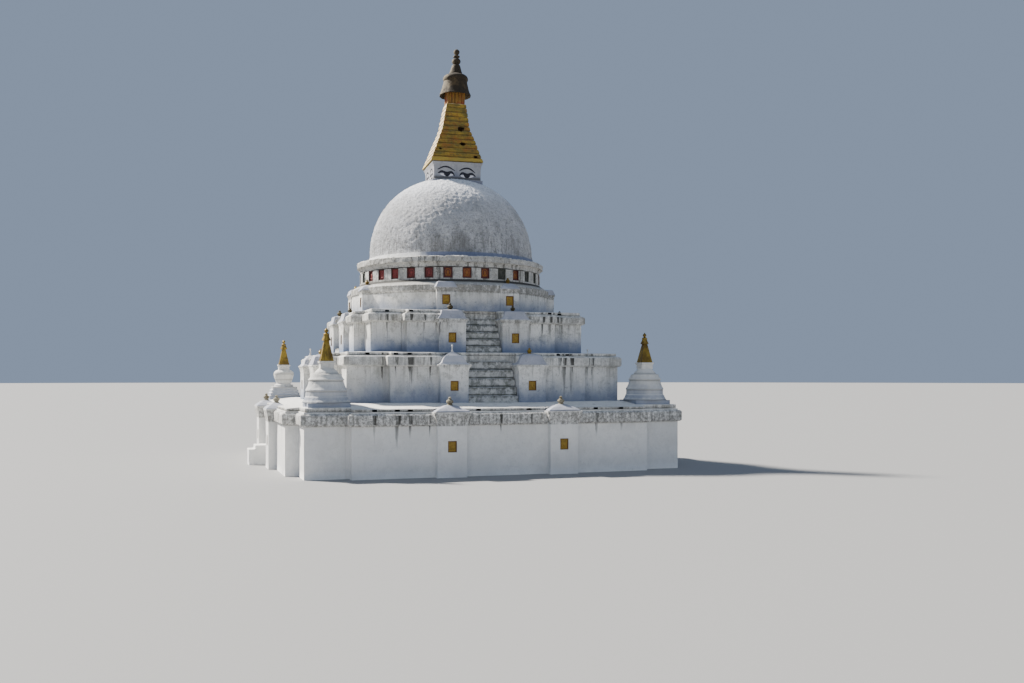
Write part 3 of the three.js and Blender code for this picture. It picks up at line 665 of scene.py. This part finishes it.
def painted(name, colour, worn, shine=0.6):
    """Distemper that has worn to a duller colour in patches, with grime on top."""
    paint = Finish(name, colour, shine)
    paint.coat(worn, paint.blots(0.45, 0.68, 1.0, 9.0, 6.0, 0.7))
    paint.coat(tuple(0.25 * part for part in worn), paint.blots(0.58, 0.72, 0.6, 22.0, 4.0, 0.7))
    return paint.done(paint.cloud(30.0, 6.0, 0.6), strength=0.3, distance=0.01)


ochre = painted("ochre_slab_paint", (0.34, 0.21, 0.022), (0.20, 0.115, 0.014))
ochre_frame = painted("ochre_frame_paint", (0.16, 0.075, 0.012), (0.09, 0.04, 0.01))
deep_red = painted("deep_red_slab_paint", (0.11, 0.014, 0.010), (0.05, 0.010, 0.009))
rose = painted("rose_slab_paint", (0.21, 0.030, 0.028), (0.12, 0.024, 0.021))
orange = painted("orange_slab_paint", (0.19, 0.040, 0.008), (0.10, 0.020, 0.007))
orange_gold = painted("orange_gold_slab_paint", (0.25, 0.090, 0.011), (0.14, 0.042, 0.008))
red_frame = painted("red_frame_paint", (0.07, 0.012, 0.009), (0.035, 0.010, 0.009))
dark_slab = painted("dark_slab", (0.045, 0.05, 0.042), (0.09, 0.085, 0.075), 0.9)


def slab_image(name, width, height, depth, field, accent, frame_paint):
    """One framed slab, its front at y = 0 and its foot at z = 0."""
    slab = box((-width / 2, 0, 0), (width / 2, depth, height))
    slab.name = name
    for finish in (frame_paint, field, accent):
        slab.data.materials.append(finish)
    open_mesh(slab)
    bpy.ops.mesh.select_mode(type="FACE")
    bpy.ops.mesh.select_all(action="DESELECT")
    mesh = bmesh.from_edit_mesh(slab.data)
    min(mesh.faces, key=lambda face: face.calc_center_median().y).select_set(True)
    bmesh.update_edit_mesh(slab.data)
    bpy.ops.mesh.inset(thickness=0.08 * width, depth=0)
    extrude(0, SLAB_RECESS, 0)
    slab.active_material_index = 1
    bpy.ops.object.material_slot_assign()
    bpy.ops.object.mode_set(mode="OBJECT")
    front = SLAB_RECESS - 0.006
    halo = add(bpy.ops.mesh.primitive_torus_add, (0.30 * width, 0.32 * height, 0.02), major_segments=20,
               minor_segments=6, major_radius=1, minor_radius=0.12, rotation=(math.pi / 2, 0, 0),
               location=(0, front, 0.56 * height))
    parts = [slab, halo]
    # The jewel and its seat, and then the petals between them
    for out, up, half, tall in ((front - 0.002, 0.53, 0.16, 0.21), (front, 0.22, 0.27, 0.05)):
        parts.append(add(bpy.ops.mesh.primitive_uv_sphere_add, (half * width, 0.03, tall * height),
                         segments=12, ring_count=8, radius=1, location=(0, out, up * height)))
    for petal in range(LOTUS_PETALS):
        fan = (petal - (LOTUS_PETALS - 1) / 2) / LOTUS_PETALS
        parts.append(add(bpy.ops.mesh.primitive_uv_sphere_add, (0.045 * width, 0.02, 0.075 * height),
                         segments=8, ring_count=6, radius=1, rotation=(0, fan * 1.4, 0),
                         location=(fan * 0.62 * width, front, 0.29 * height)))
    for part in parts[1:]:
        part.data.materials.append(accent)
    smooth(gather(parts), 35)
    return slab


for level, front, bottom, height, width in (
    ("plinth", 9.94, 1.12, 0.50, 0.40), ("terrace_1", 7.70, 3.79, 0.46, 0.39),
    ("terrace_2", 6.18, 6.08, 0.48, 0.38), ("terrace_3", 5.20, 7.98, 0.48, 0.40),
):
    slab = slab_image(f"{level}_slab_pattern", width - 0.006, height - 0.006, 0.2, ochre, ochre, ochre_frame)
    set_at_shrines(slab, level, "niche_image", out=front - 0.03, up=bottom + 0.003)

DRUM_SLABS = {
    "deep": (deep_red, rose, red_frame), "rose": (rose, rose, red_frame),
    "orange": (deep_red, orange_gold, red_frame), "gold": (orange, orange_gold, red_frame),
    "dark": (dark_slab, dark_slab, dark_slab),
}
# The painted kinds in turn from the first niche right of the middle of the front
DRUM_KINDS = ["orange", "dark", "orange", "dark", "dark", "deep", "orange", "rose", "deep", "gold", "rose",
              "deep", "orange", "rose", "gold", "deep", "rose", "orange", "deep", "rose", "deep", "gold",
              "orange", "rose", "dark", "deep", "rose", "rose", "deep", "deep", "orange", "gold"]
drum_patterns = {}
for kind, paints in DRUM_SLABS.items():
    drum_patterns[kind] = slab_image(f"{kind}_slab_pattern", 0.444, 0.515, 0.18, *paints)
for niche, kind in enumerate(DRUM_KINDS):
    turn = Matrix.Rotation((niche + 0.5) * 2 * math.pi / len(DRUM_KINDS), 4, "Z")
    shift = Matrix.Translation((0, -4.805, 9.345))
    set_copy(drum_patterns[kind], f"drum_niche_image_{niche + 1}", turn @ shift)
for pattern in drum_patterns.values():
    bpy.data.objects.remove(pattern)

# Dome
# A half dome of brick and stone under a thick, hand thrown coat of lime plaster. Its surface is
# pebbled all over, bleached above and streaked black towards the foot.
DOME_RADIUS = 4.38
DOME_SPRING = 10.78
DOME_RISE = 4.32
DOME_FOOT = 10.4705
DOME_FULLNESS = 2.1
DOME_LEAN = -0.025
# Top of the painted light and shade on the fillet at the dome's foot
FILLET_LIGHT_SHADE_TOP = 10.68
FILLET_OUT = 0.1
PEBBLE_DEPTH = 0.045
HARMIKA_YAW = math.radians(-4)
HARMIKA_TURN = Matrix.Rotation(HARMIKA_YAW, 4, "Z")
HARMIKA_PLACE = Matrix.Translation((0.13, 0, 0)) @ HARMIKA_TURN


def pebbles(point):
    """Depth of the plaster's lumps at a point, 0 on a crown and 1 in a hollow."""
    lumps = noise.noise(point * 6.5)
    small = noise.noise(point * 11.0 + Vector((9, 4, 2)))
    broad = noise.noise(point * 0.9 + Vector((3, 7, 5)))
    return portion(0.5 + 0.8 * lumps + 0.8 * small + 0.25 * broad)


plaster = Finish("dome_thrown_plaster", LIME, 0.95, ground=(0.60, 0.61, 0.635))
x, y, z = plaster.axes("Object")
plaster.coat((0.45, 0.46, 0.485), plaster.blots(0.36, 0.64, 1.0, 0.45, 5.0))
plaster.coat((0.33, 0.33, 0.33), plaster.blots(0.46, 0.66, 0.65, 1.3, 9.0, 0.74, 0.3))
crest = plaster.calc("ADD", z, plaster.sway(1.6, 1.2, 6.0))
plaster.coat((0.86, 0.89, 0.95), plaster.fade(crest, 13.2, 14.6, 0.0, 0.8))
for scale in (6.5, 14.0):
    pits = plaster.blots(0.51, 0.61, 0.8, scale, 8.0, 0.8)
    plaster.coat((0.20, 0.20, 0.20), pits, plaster.fade(z, 14.6, 11.6, 0.45, 1.0))
# Streaks that start at different heights and thicken downwards
tall = (1.0, 0.1)
low = plaster.calc("ADD", z, plaster.sway(2.8, 1.6, 5.0, squash=tall))
lower = plaster.fade(low, 12.6, 10.9)
for scale, dark in ((4.0, (0.20, 0.20, 0.195)), (11.0, (0.12, 0.12, 0.112))):
    plaster.coat(dark, plaster.blots(0.48, 0.62, 0.7, scale, 8.0, 0.8, squash=tall), lower)
# Soot in a patch at the foot of the front; on the fillet round the foot, painted light on the left where the
# sun falls and painted bluish shade on the rest
nearer = plaster.calc("ADD", x, plaster.sway(1.4, 2.0, squash=tall))
plaster.coat((0.13, 0.13, 0.125), plaster.fade(nearer, -2.6, -1.6), plaster.fade(nearer, 0.6, -0.4),
             plaster.fade(low, 11.9, 11.0, 0.0, 0.6))
fillet_light_and_shade = plaster.mix(plaster.fade(x, -2.9, -2.1), (0.90, 0.90, 0.89), (0.15, 0.185, 0.30))
plaster.coat(fillet_light_and_shade, plaster.fade(z, FILLET_LIGHT_SHADE_TOP + 0.03, FILLET_LIGHT_SHADE_TOP - 0.03, 0.0, 0.8))
rough = plaster.calc("ADD", plaster.cloud(6.0, 6.0, 0.7), plaster.times(plaster.cloud(18.0, 5.0, 0.7), 0.4))
thrown_plaster = plaster.done(rough, strength=1.0, distance=0.09)

dome = add(bpy.ops.mesh.primitive_uv_sphere_add, segments=400, ring_count=200, radius=1)
dome.name = "dome_plaster"
open_mesh(dome)
bpy.ops.mesh.bisect(plane_co=(0, 0, 0), plane_no=(0, 0, 1), clear_inner=True)
bpy.ops.mesh.select_all(action="DESELECT")
mesh = bmesh.from_edit_mesh(dome.data)
for point in mesh.verts:
    point.select_set(point.co.z < 0.001)
mesh.select_flush(True)
bmesh.update_edit_mesh(dome.data)
bpy.ops.mesh.edge_face_add()
close_mesh()
for point in dome.data.vertices:
    flat = Vector((point.co.x, point.co.y, 0))
    outward = flat.normalized() if flat.length > 0.0001 else Vector((0, 0, 0))
    if point.co.z < 0.001:
        # The lowest ring is the foot of the fillet
        spot = outward * (DOME_RADIUS + FILLET_OUT) + Vector((0, 0, DOME_FOOT))
    else:
        angle = math.asin(portion(point.co.z))
        across = math.cos(angle) ** (2 / DOME_FULLNESS) if angle < math.pi / 2 - 0.001 else 0.0
        height = DOME_SPRING + DOME_RISE * math.sin(angle) ** (2 / DOME_FULLNESS)
        spot = outward * (DOME_RADIUS * across) + Vector((0, 0, height))
        normal = (outward * math.cos(angle) + Vector((0, 0, math.sin(angle)))).normalized()
        calm = 0.6 if height < 11.6 else 1.0
        spot -= normal * (PEBBLE_DEPTH * calm * pebbles(spot))
    spot.x += DOME_LEAN * (spot.z - (DOME_SPRING + DOME_RISE / 2))
    point.co = spot
seat = box((-1.361, -1.361, 14.6), (1.361, 1.361, 15.8))
seat.data.transform(HARMIKA_PLACE)
subtract(dome, [seat])
smooth(dome, 60)
settle(dome, thrown_plaster, "whitewash", "dome")

# Harmika
# The square block over the dome, plastered smooth and painted on each side with a pair of lowered
# eyes under arched brows, in black and white distemper.
HARMIKA_HALF = 1.27
HARMIKA_FLARE = 15.48
STROKE = 0.043
# Painted shade: the veil darkens and blues the whole wash, and the foot shade and the band darken its foot,
# as shade does on its front
harmika_wash = whitewash("harmika_wash", 14.92, 15.75, bands=[(14.9, 15.02, 0.75, 0.25, 0.07)], age=0.45,
                         foot_shade=0.9, grain=0.4, painted_light_veil=((0.215, 0.22, 0.255), 0.74))
masonry("harmika", "harmika_plaster", harmika_wash, arris=0.02, span=0.25, depth=0.008)
eye_black = painted("eye_black", (0.012, 0.013, 0.022), (0.03, 0.03, 0.04), 0.8)
eye_white = painted("eye_white", (0.78, 0.76, 0.80), (0.66, 0.64, 0.68), 0.85)
# Brush strokes as (place across, height, weight of the brush)
BROWS = [
    [(-1.057, 15.39, 0.5), (-0.854, 15.51, 0.9), (-0.676, 15.56, 1.0), (-0.499, 15.54, 1.0),
     (-0.315, 15.455, 0.8), (-0.13, 15.345, 0.3)],
    [(0.10, 15.35, 0.4), (0.226, 15.455, 0.9), (0.45, 15.52, 1.0), (0.66, 15.505, 1.0), (0.813, 15.41, 0.9),
     (0.965, 15.29, 0.4)],
]
LIDS = [
    [(-1.057, 15.20, 0.5), (-0.966, 15.235, 1.1), (-0.854, 15.30, 1.4), (-0.768, 15.28, 1.3),
     (-0.633, 15.232, 1.2), (-0.499, 15.235, 1.2), (-0.364, 15.28, 1.3), (-0.272, 15.25, 1.3),
     (-0.205, 15.15, 0.9), (-0.159, 15.09, 0.4)],
    [(0.125, 15.09, 0.5), (0.177, 15.215, 1.1), (0.291, 15.26, 1.4), (0.405, 15.205, 1.3),
     (0.584, 15.185, 1.2), (0.677, 15.23, 1.3), (0.791, 15.245, 1.3), (0.881, 15.18, 1.1),
     (0.983, 15.10, 0.4)],
]
# Middles of the patches under the lids as (place across, height)
IRISES = [(-0.565, 15.235), (0.515, 15.19)]
WHITES = [(-0.565, 15.165), (0.515, 15.13)]


def face_depth(height):
    """How far a painted mark stands out of the middle of the block, following the flare."""
    return HARMIKA_HALF + 0.03 * max(0.0, height - HARMIKA_FLARE) / 0.17


def stroke(points):
    """A brush stroke in black: a tube through the points that is pressed flat on the wall."""
    line = add(bpy.ops.curve.primitive_nurbs_path_add)
    line.data.splines.clear()
    spline = line.data.splines.new("NURBS")
    spline.points.add(len(points) - 1)
    for knot, (along, height, weight) in zip(spline.points, points):
        knot.co = (along, -face_depth(height), height, 1)
        knot.radius = weight
    spline.use_endpoint_u = True
    spline.order_u = 3
    spline.resolution_u = 6
    line.data.bevel_depth = STROKE
    line.data.bevel_resolution = 2
    line.data.use_fill_caps = True
    bpy.ops.object.convert(target="MESH")
    mark = bpy.context.object
    for point in mark.data.vertices:
        wall = -face_depth(point.co.z)
        point.co.y = wall + 0.25 * (point.co.y - wall)
    mark.data.materials.clear()
    mark.data.materials.append(eye_black)
    return mark


def patch(centre, half, tall, out, finish):
    """A flat painted half disc that hangs under the lid, out from the wall."""
    along, height = centre
    mark = add(bpy.ops.mesh.primitive_circle_add, (half, tall, 1), vertices=24, radius=1, fill_type="NGON",
               rotation=(math.pi / 2, 0, 0), location=(along, -HARMIKA_HALF - out, height))
    for point in mark.data.vertices:
        if point.co.z > height:
            point.co.z = height + 0.12 * (point.co.z - height)
    open_mesh(mark)
    extrude(0, 0.02, 0)
    close_mesh()
    mark.data.materials.append(finish)
    return mark


eye_parts = [stroke(points) for points in BROWS + LIDS]
eye_parts += [patch(centre, 0.37, 0.12, 0.002, eye_white) for centre in WHITES]
eye_parts += [patch(centre, 0.185, 0.20, 0.005, eye_black) for centre in IRISES]
eyes = gather(eye_parts)
for side, turn in SIDE_TURNS.items():
    set_copy(eyes, f"painted_eyes_{side}", HARMIKA_PLACE @ turn)
bpy.data.objects.remove(eyes)

# Spire
# Thirteen square rings of brick, rendered and painted gold. The paint has browned, moss grows on the
# ledges, and a few bricks have dropped out and left dark holes.
SPIRE_FOOT = 15.82
SPIRE_TOP = 19.15
SPIRE_RINGS = 13
SPIRE_HALVES = [(0, 1.41), (0.29, 1.075), (0.57, 0.745), (1, 0.522)]
SPIRE_LEAN = 0.04
LEAN_START = 13.32
RING_RISE = (SPIRE_TOP - SPIRE_FOOT) / SPIRE_RINGS
# Holes on the front: place across the face, height, half width, half height
SPIRE_HOLES = [(0.37, 17.71, 0.16, 0.13), (0.39, 16.85, 0.17, 0.09), (1.02, 16.14, 0.09, 0.05),
               (-0.85, 16.52, 0.08, 0.045)]


def spire_half(share):
    """Half width of the spire at a share of its height, along its slightly hollow sides."""
    for (low, wide), (high, narrow) in zip(SPIRE_HALVES, SPIRE_HALVES[1:]):
        if share <= high:
            break
    return wide + (narrow - wide) * (share - low) / (high - low)


def lean(piece):
    for point in piece.data.vertices:
        point.co.x += SPIRE_LEAN * (point.co.z - LEAN_START)


gold = Finish("browned_gold_paint", (0.45, 0.26, 0.03), 0.7, ground=(0.36, 0.225, 0.018))
x, y, z = gold.axes("Object")
facing = gold.axes("Normal")
gold.coat((0.17, 0.125, 0.016), gold.blots(0.4, 0.6, 1.0, 2.0, 7.0, 0.7, squash=(0.5, 2.0)))
# Rust red, olive and dirt in blots
gold.coat((0.27, 0.105, 0.010), gold.blots(0.49, 0.6, 0.9, 2.2, 8.0, 0.78, squash=(0.7, 1.0)))
gold.coat((0.13, 0.115, 0.016), gold.blots(0.52, 0.62, 0.75, 3.4, 7.0, 0.75, squash=(0.5, 1.0)))
gold.coat((0.10, 0.065, 0.012), gold.blots(0.5, 0.62, 0.7, 6.0, 8.0, 0.76, squash=(0.6, 1.0)))
# Moss, more of it towards the right
moss = gold.blots(0.53, 0.62, 0.85, 2.1, 8.0, 0.78)
gold.coat((0.055, 0.065, 0.012), moss, gold.fade(x, 0.15, 1.05, 0.2, 1.0))
# The paint has bleached on the ledges; the side that faces the sun is painted paler still, as painted light
painted_sunlit_side = gold.fade(facing[0], -0.45, -0.85, 0.0, 0.92)
chalky = gold.blots(0.38, 0.56, 1.0, 5.0, 7.0, 0.7, least=0.45)
gold.coat((0.92, 0.74, 0.46), painted_sunlit_side, chalky, gold.fade(z, SPIRE_FOOT, SPIRE_FOOT + 1.1, 0.75, 1.0))
gold.coat((0.50, 0.40, 0.19), gold.fade(facing[2], 0.6, 0.9, 0.0, 0.7))
gold.coat((0.52, 0.37, 0.06), gold.fade(z, SPIRE_FOOT + RING_RISE, SPIRE_FOOT + 0.7 * RING_RISE, 0.0, 0.5))
# The joints between the rings are dark, with an uneven edge; they are darkest on the side that faces the
# sun, to show through the painted light there
part = gold.calc("FRACT", gold.calc("DIVIDE", gold.calc("SUBTRACT", z, SPIRE_FOOT), RING_RISE))
joint = gold.calc("ADD", part, gold.sway(0.7, 4.0, 6.0, 0.7, squash=(1.0, 0.4)))
gold.coat((0.045, 0.03, 0.008), gold.fade(joint, 0.34, 0.06), gold.fade(facing[0], -0.45, -0.85, 0.55, 0.97))
gold.coat((0.72, 0.62, 0.40), gold.fade(z, SPIRE_TOP - 0.05, SPIRE_TOP - 0.02, 0.0, 0.8))
gold_paint = gold.done(gold.cloud(7.0, 9.0, 0.7), strength=0.9, distance=0.05)
brick = Finish("broken_brick", (0.09, 0.045, 0.014), 1.0, ground=(0.12, 0.055, 0.016))
brick.coat((0.045, 0.026, 0.010), brick.blots(0.4, 0.6, 1.0, 5.0, 7.0))
broken_brick = brick.done(brick.cloud(9.0, 7.0), strength=1.0, distance=0.05)

ring_profile = []
for ring in range(SPIRE_RINGS):
    bottom = SPIRE_FOOT + ring * RING_RISE
    half = spire_half(ring / SPIRE_RINGS)
    slope = half - spire_half((ring + 1) / SPIRE_RINGS)
    for narrower, share in ((0.026, 0.0), (0.022, 0.1), (0.0, 0.18), (0.12 * slope, 0.35),
                            (0.7 * slope, 0.94), (0.85 * slope + 0.02, 0.995)):
        ring_profile.append((half - narrower, bottom + share * RING_RISE))
spire = squared("spire_rings", ring_profile, HARMIKA_YAW)
lean(spire)
hole_cutters = []
for along, height, half, tall in SPIRE_HOLES:
    cutter = add(bpy.ops.mesh.primitive_ico_sphere_add, subdivisions=3, radius=1)
    for point in cutter.data.vertices:
        point.co *= 1.0 + 0.4 * noise.noise(point.co * 2.0 + Vector((along, height, 0)))
    deep = 0.05 - spire_half((height - SPIRE_FOOT) / (SPIRE_TOP - SPIRE_FOOT))
    cutter.data.transform(Matrix.Translation((along, deep, height)) @ Matrix.Diagonal((half, 0.3, tall, 1)))
    hole_cutters.append(cutter)
subtract(spire, hole_cutters)
weather(spire, 0.12, 0.03)
settle(spire, gold_paint, "gold_paint", "spire", inside=broken_brick)

# Spire neck
# Upright boards nailed round the central mast, painted orange red, with open seams between them. They
# close the gap between the rings and the umbrella.
NECK_HALF = 0.475
NECK_TOP = 20.09
NECK_BOARDS = 5
BOARD_WIDTH = 2 * NECK_HALF / NECK_BOARDS
boards = Finish("orange_board_paint", (0.34, 0.12, 0.02), 0.75, ground=(0.28, 0.14, 0.016))
grain = boards.cloud(16.0, 6.0, 0.65, squash=(1.0, 0.08))
boards.coat((0.11, 0.05, 0.008), boards.fade(grain, 0.4, 0.62))
boards.coat((0.25, 0.045, 0.014), boards.blots(0.5, 0.62, 0.8, 2.6, 6.0, 0.7))
board_paint = boards.done(grain, strength=0.5, distance=0.01)
random.seed(11)
mast_half = NECK_HALF - 0.05
neck_parts = [box((-mast_half, -mast_half, SPIRE_TOP), (mast_half, mast_half, NECK_TOP))]
neck_parts[0].data.transform(HARMIKA_TURN)
for turn in SIDE_TURNS.values():
    for board in range(NECK_BOARDS):
        left = board * BOARD_WIDTH - NECK_HALF + 0.008
        sunk = random.uniform(0.0, 0.018)
        part = box((left, -NECK_HALF + sunk, SPIRE_TOP),
                   (left + BOARD_WIDTH - 0.02, -NECK_HALF + 0.07, NECK_TOP))
        part.data.transform(turn @ HARMIKA_TURN)
        neck_parts.append(part)
neck = gather(neck_parts)
neck.name = "spire_neck_boards"
round_off(neck, 0.006, segments=1)
lean(neck)
settle(neck, board_paint, "red_board", "spire_neck")

# Umbrella and finial
# A bell shaped hood of gilded copper sheet on a wooden frame, and above it a vase, ball, disc and
# jewel spun from the same sheet. The gilding is mostly gone and the rim is dented.


def old_gilding(name, bright, dull, low, high, shine, metallic, worn=None):
    """Gilding that has gone dull in patches; worn is a paler colour painted on its left side as painted
    light, where the sun falls.
    """
    gilt = Finish(name, bright, shine, metallic)
    gilt.coat(dull, gilt.blots(low, high, 1.0, 1.9, 8.0, 0.7, 0.6))
    if worn:
        # Painted light: the side that faces the sun, on the left, is painted paler
        across = gilt.calc("ADD", gilt.axes("Normal")[0], gilt.sway(1.6, 2.4, 6.0, 0.7))
        gilt.coat(worn, gilt.fade(across, -0.62, -0.85, 0.0, 0.9))
    streaks = gilt.blots(0.5, 0.66, 0.6, 9.0, 5.0, 0.7, squash=(1.0, 0.15))
    gilt.coat(tuple(0.35 * part for part in dull), streaks)
    return gilt.done(gilt.cloud(7.0, 4.0, 0.55), strength=0.35, distance=0.02)


bronze = old_gilding("tarnished_copper", (0.075, 0.05, 0.022), (0.024, 0.016, 0.007), low=0.34, high=0.52,
                     shine=0.9, metallic=0.0, worn=(0.17, 0.14, 0.095))
umbrella = turned("umbrella_hood", [
    (0.70, 20.1), (0.73, 19.95), (0.79, 19.8), (0.835, 19.67), (0.85, 19.652), (0.866, 19.655),
    (0.868, 19.69), (0.85, 19.72), (0.80, 19.84), (0.745, 19.99), (0.70, 20.15), (0.665, 20.3),
    (0.64, 20.40), (0.634, 20.45), (0.655, 20.475), (0.672, 20.52), (0.682, 20.59), (0.668, 20.65),
    (0.63, 20.715), (0.55, 20.78), (0.45, 20.82), (0.39, 20.845), (0.376, 20.858), (0.2, 20.859),
], 72)
for point in umbrella.data.vertices:
    low = max(0.0, (20.1 - point.co.z) / 0.45)
    dent = noise.noise(Vector((point.co.x * 2.2, point.co.y * 2.2, point.co.z * 1.5)))
    shrink = 1.0 - (0.02 + 0.06 * low) * max(0.0, dent)
    point.co.x *= shrink
    point.co.y *= shrink
    if low > 0.7:
        point.co.z += 0.06 * max(0.0, noise.noise(Vector((point.co.x * 3.1, point.co.y * 3.1, 5.0))))
lean(umbrella)
smooth(umbrella, 40)
settle(umbrella, bronze, "bronze_sheet", "umbrella")

finial = turned("finial_vase_and_jewel", [
    (0.365, 20.862), (0.368, 20.88), (0.345, 20.93), (0.315, 21.02), (0.275, 21.14), (0.245, 21.25),
    (0.222, 21.33), (0.19, 21.355), (0.155, 21.365), (0.15, 21.40), (0.175, 21.425), (0.215, 21.47),
    (0.235, 21.52), (0.238, 21.57), (0.22, 21.635), (0.18, 21.685), (0.14, 21.71), (0.112, 21.735),
    (0.115, 21.755), (0.175, 21.785), (0.185, 21.82), (0.175, 21.853), (0.10, 21.885), (0.088, 21.91),
    (0.092, 21.93), (0.13, 21.965), (0.157, 22.02), (0.165, 22.07), (0.155, 22.125), (0.12, 22.175),
    (0.07, 22.213), (0.02, 22.236),
], 48)
lean(finial)
smooth(finial, 40)
settle(finial, bronze, "bronze_sheet", "finial")

# Corner chortens
# Four small stupas on the corners of the plinth, plastered and washed, the front two bell shaped and
# the back two vase shaped, each under a gilded metal spire that ends in a small crown.
# Painted shade as dark bands under the tiers, where their undercuts throw shade: bottom, top, strength,
# cover, tone
CHORTEN_UNDERCUT_SHADE = [(3.3, 3.32, 0.5, 0.2, 0.14), (3.78, 3.8, 0.55, 0.2, 0.14),
                     (4.24, 4.26, 0.55, 0.2, 0.14), (4.57, 4.59, 0.5, 0.2, 0.14)]
FOOT_SUNK = 0.14
chorten_wash = whitewash("chorten_wash", 3.15, 5.4, bands=CHORTEN_UNDERCUT_SHADE, age=0.25, foot_shade=0.72, grain=0.25)
gilding = old_gilding("chorten_gilding", (0.33, 0.22, 0.028), (0.14, 0.085, 0.012), low=0.40, high=0.62,
                      shine=0.42, metallic=0.5)
for corner in ("front_left", "front_right", "back_right", "back_left"):
    chorten = masonry(f"corner_chorten_{corner}", f"corner_chorten_plaster_{corner}", chorten_wash,
                      arris=0.02, span=0.1, depth=0.016)
    for point in chorten.data.vertices:
        # The foot is sunk into the sloping top of the plinth
        if point.co.z < PLINTH_TOP + 0.03:
            point.co.z -= FOOT_SUNK
    crown = cast(f"corner_chorten_spire_{corner}", f"corner_chorten_gilding_{corner}")
    round_off(crown, 0.006, segments=1)
    smooth(crown, 32)
    settle(crown, gilding, "gilded_metal", f"corner_chorten_spire_{corner}")

# Shrine finials
# A small turned knob is bedded on the ridge of each shrine: bare cement on the plinth, a slender washed
# one on the left of terrace 1, gilded on its right and on terrace 3, and browned on terrace 2. The flat
# left roofs of terrace 3 have one on the left side only.
KNOB = [(0.42, -0.15), (0.40, 0.04), (0.30, 0.10), (0.25, 0.16), (0.34, 0.24), (0.43, 0.36), (0.42, 0.48),
        (0.31, 0.61), (0.18, 0.69), (0.15, 0.74), (0.20, 0.80), (0.20, 0.86), (0.11, 0.94), (0.02, 1.0)]
NEEDLE = [(0.20, -0.10), (0.16, 0.03), (0.09, 0.12), (0.07, 0.45), (0.07, 0.62), (0.14, 0.68), (0.17, 0.76),
          (0.14, 0.85), (0.06, 0.92), (0.02, 1.0)]
brown_gold = old_gilding("browned_knob_gilding", (0.075, 0.055, 0.013), (0.035, 0.027, 0.010), low=0.4,
                         high=0.6, shine=0.8, metallic=0.0)
bare_knob = old_gilding("bare_knob_cement", (0.27, 0.25, 0.19), (0.13, 0.105, 0.06), low=0.42, high=0.64,
                        shine=0.9, metallic=0.0)
for level, hand, ridge, tall, profile, finish, slot, sides in (
    ("plinth", "left", 3.18, 0.38, KNOB, bare_knob, "whitewash", SIDES),
    ("plinth", "right", 3.18, 0.38, KNOB, bare_knob, "whitewash", SIDES),
    ("terrace_1", "left", 5.66, 0.30, NEEDLE, chorten_wash, "whitewash", SIDES),
    ("terrace_1", "right", 5.56, 0.27, KNOB, gilding, "gilded_metal", SIDES),
    ("terrace_2", "left", 7.67, 0.34, KNOB, brown_gold, "gilded_metal", SIDES),
    ("terrace_2", "right", 7.67, 0.28, KNOB, brown_gold, "gilded_metal", SIDES),
    ("terrace_3", "left", 9.13, 0.22, KNOB, gilding, "gilded_metal", ["left"]),
    ("terrace_3", "right", 9.13, 0.27, KNOB, gilding, "gilded_metal", SIDES),
):
    knob = turned("knob_pattern", [(radius * tall, ridge + share * tall) for radius, share in profile], 16)
    smooth(knob, 40)
    knob.data.materials.append(finish)
    set_at_shrines(knob, level, "shrine_knob", hands=[hand], sides=sides)

# Stage
# A plain pale floor under a pale sky, a warm key from behind on the left, and a faint, wide and cool
# fill from the front. The camera stands 4.5 m up and looks level, a little to the right, with its frame
# shifted up as in the photograph.
floor = add(bpy.ops.mesh.primitive_circle_add, vertices=96, radius=600, fill_type="NGON",
            location=(0, 0, -0.002))
floor.name = "floor"
floor.data.materials.append(Finish("pale_floor", (0.27, 0.27, 0.27), 0.9).material)

world = bpy.data.worlds.new("soft_sky")
bpy.context.scene.world = world
world.use_nodes = True
sky = world.node_tree.nodes["Background"].inputs
sky["Color"].default_value = (0.54, 0.69, 0.96, 1)
sky["Strength"].default_value = 0.45

for name, energy, width, colour, source in (
    ("key", 14.0, 4, (1.0, 0.95, 0.87), (-0.52, 0.50, 0.69)),
    ("fill", 0.4, 60, (0.9, 0.95, 1.0), (-0.25, -0.85, 0.5)),
):
    light = bpy.data.lights.new(name, "SUN")
    light.energy = energy
    light.angle = math.radians(width)
    light.color = colour
    bring_in(name, light).rotation_euler = Vector(source).to_track_quat("Z", "Y").to_euler()

lens = bpy.data.cameras.new("camera")
lens.lens = 35
lens.sensor_width = 36
lens.shift_y = 0.0332
lens.clip_end = 2000
camera = bring_in("camera", lens)
camera.location = (-14.42, -52.15, 4.5)
camera.rotation_euler = (math.pi / 2, 0, math.radians(-19))
bpy.context.scene.camera = camera
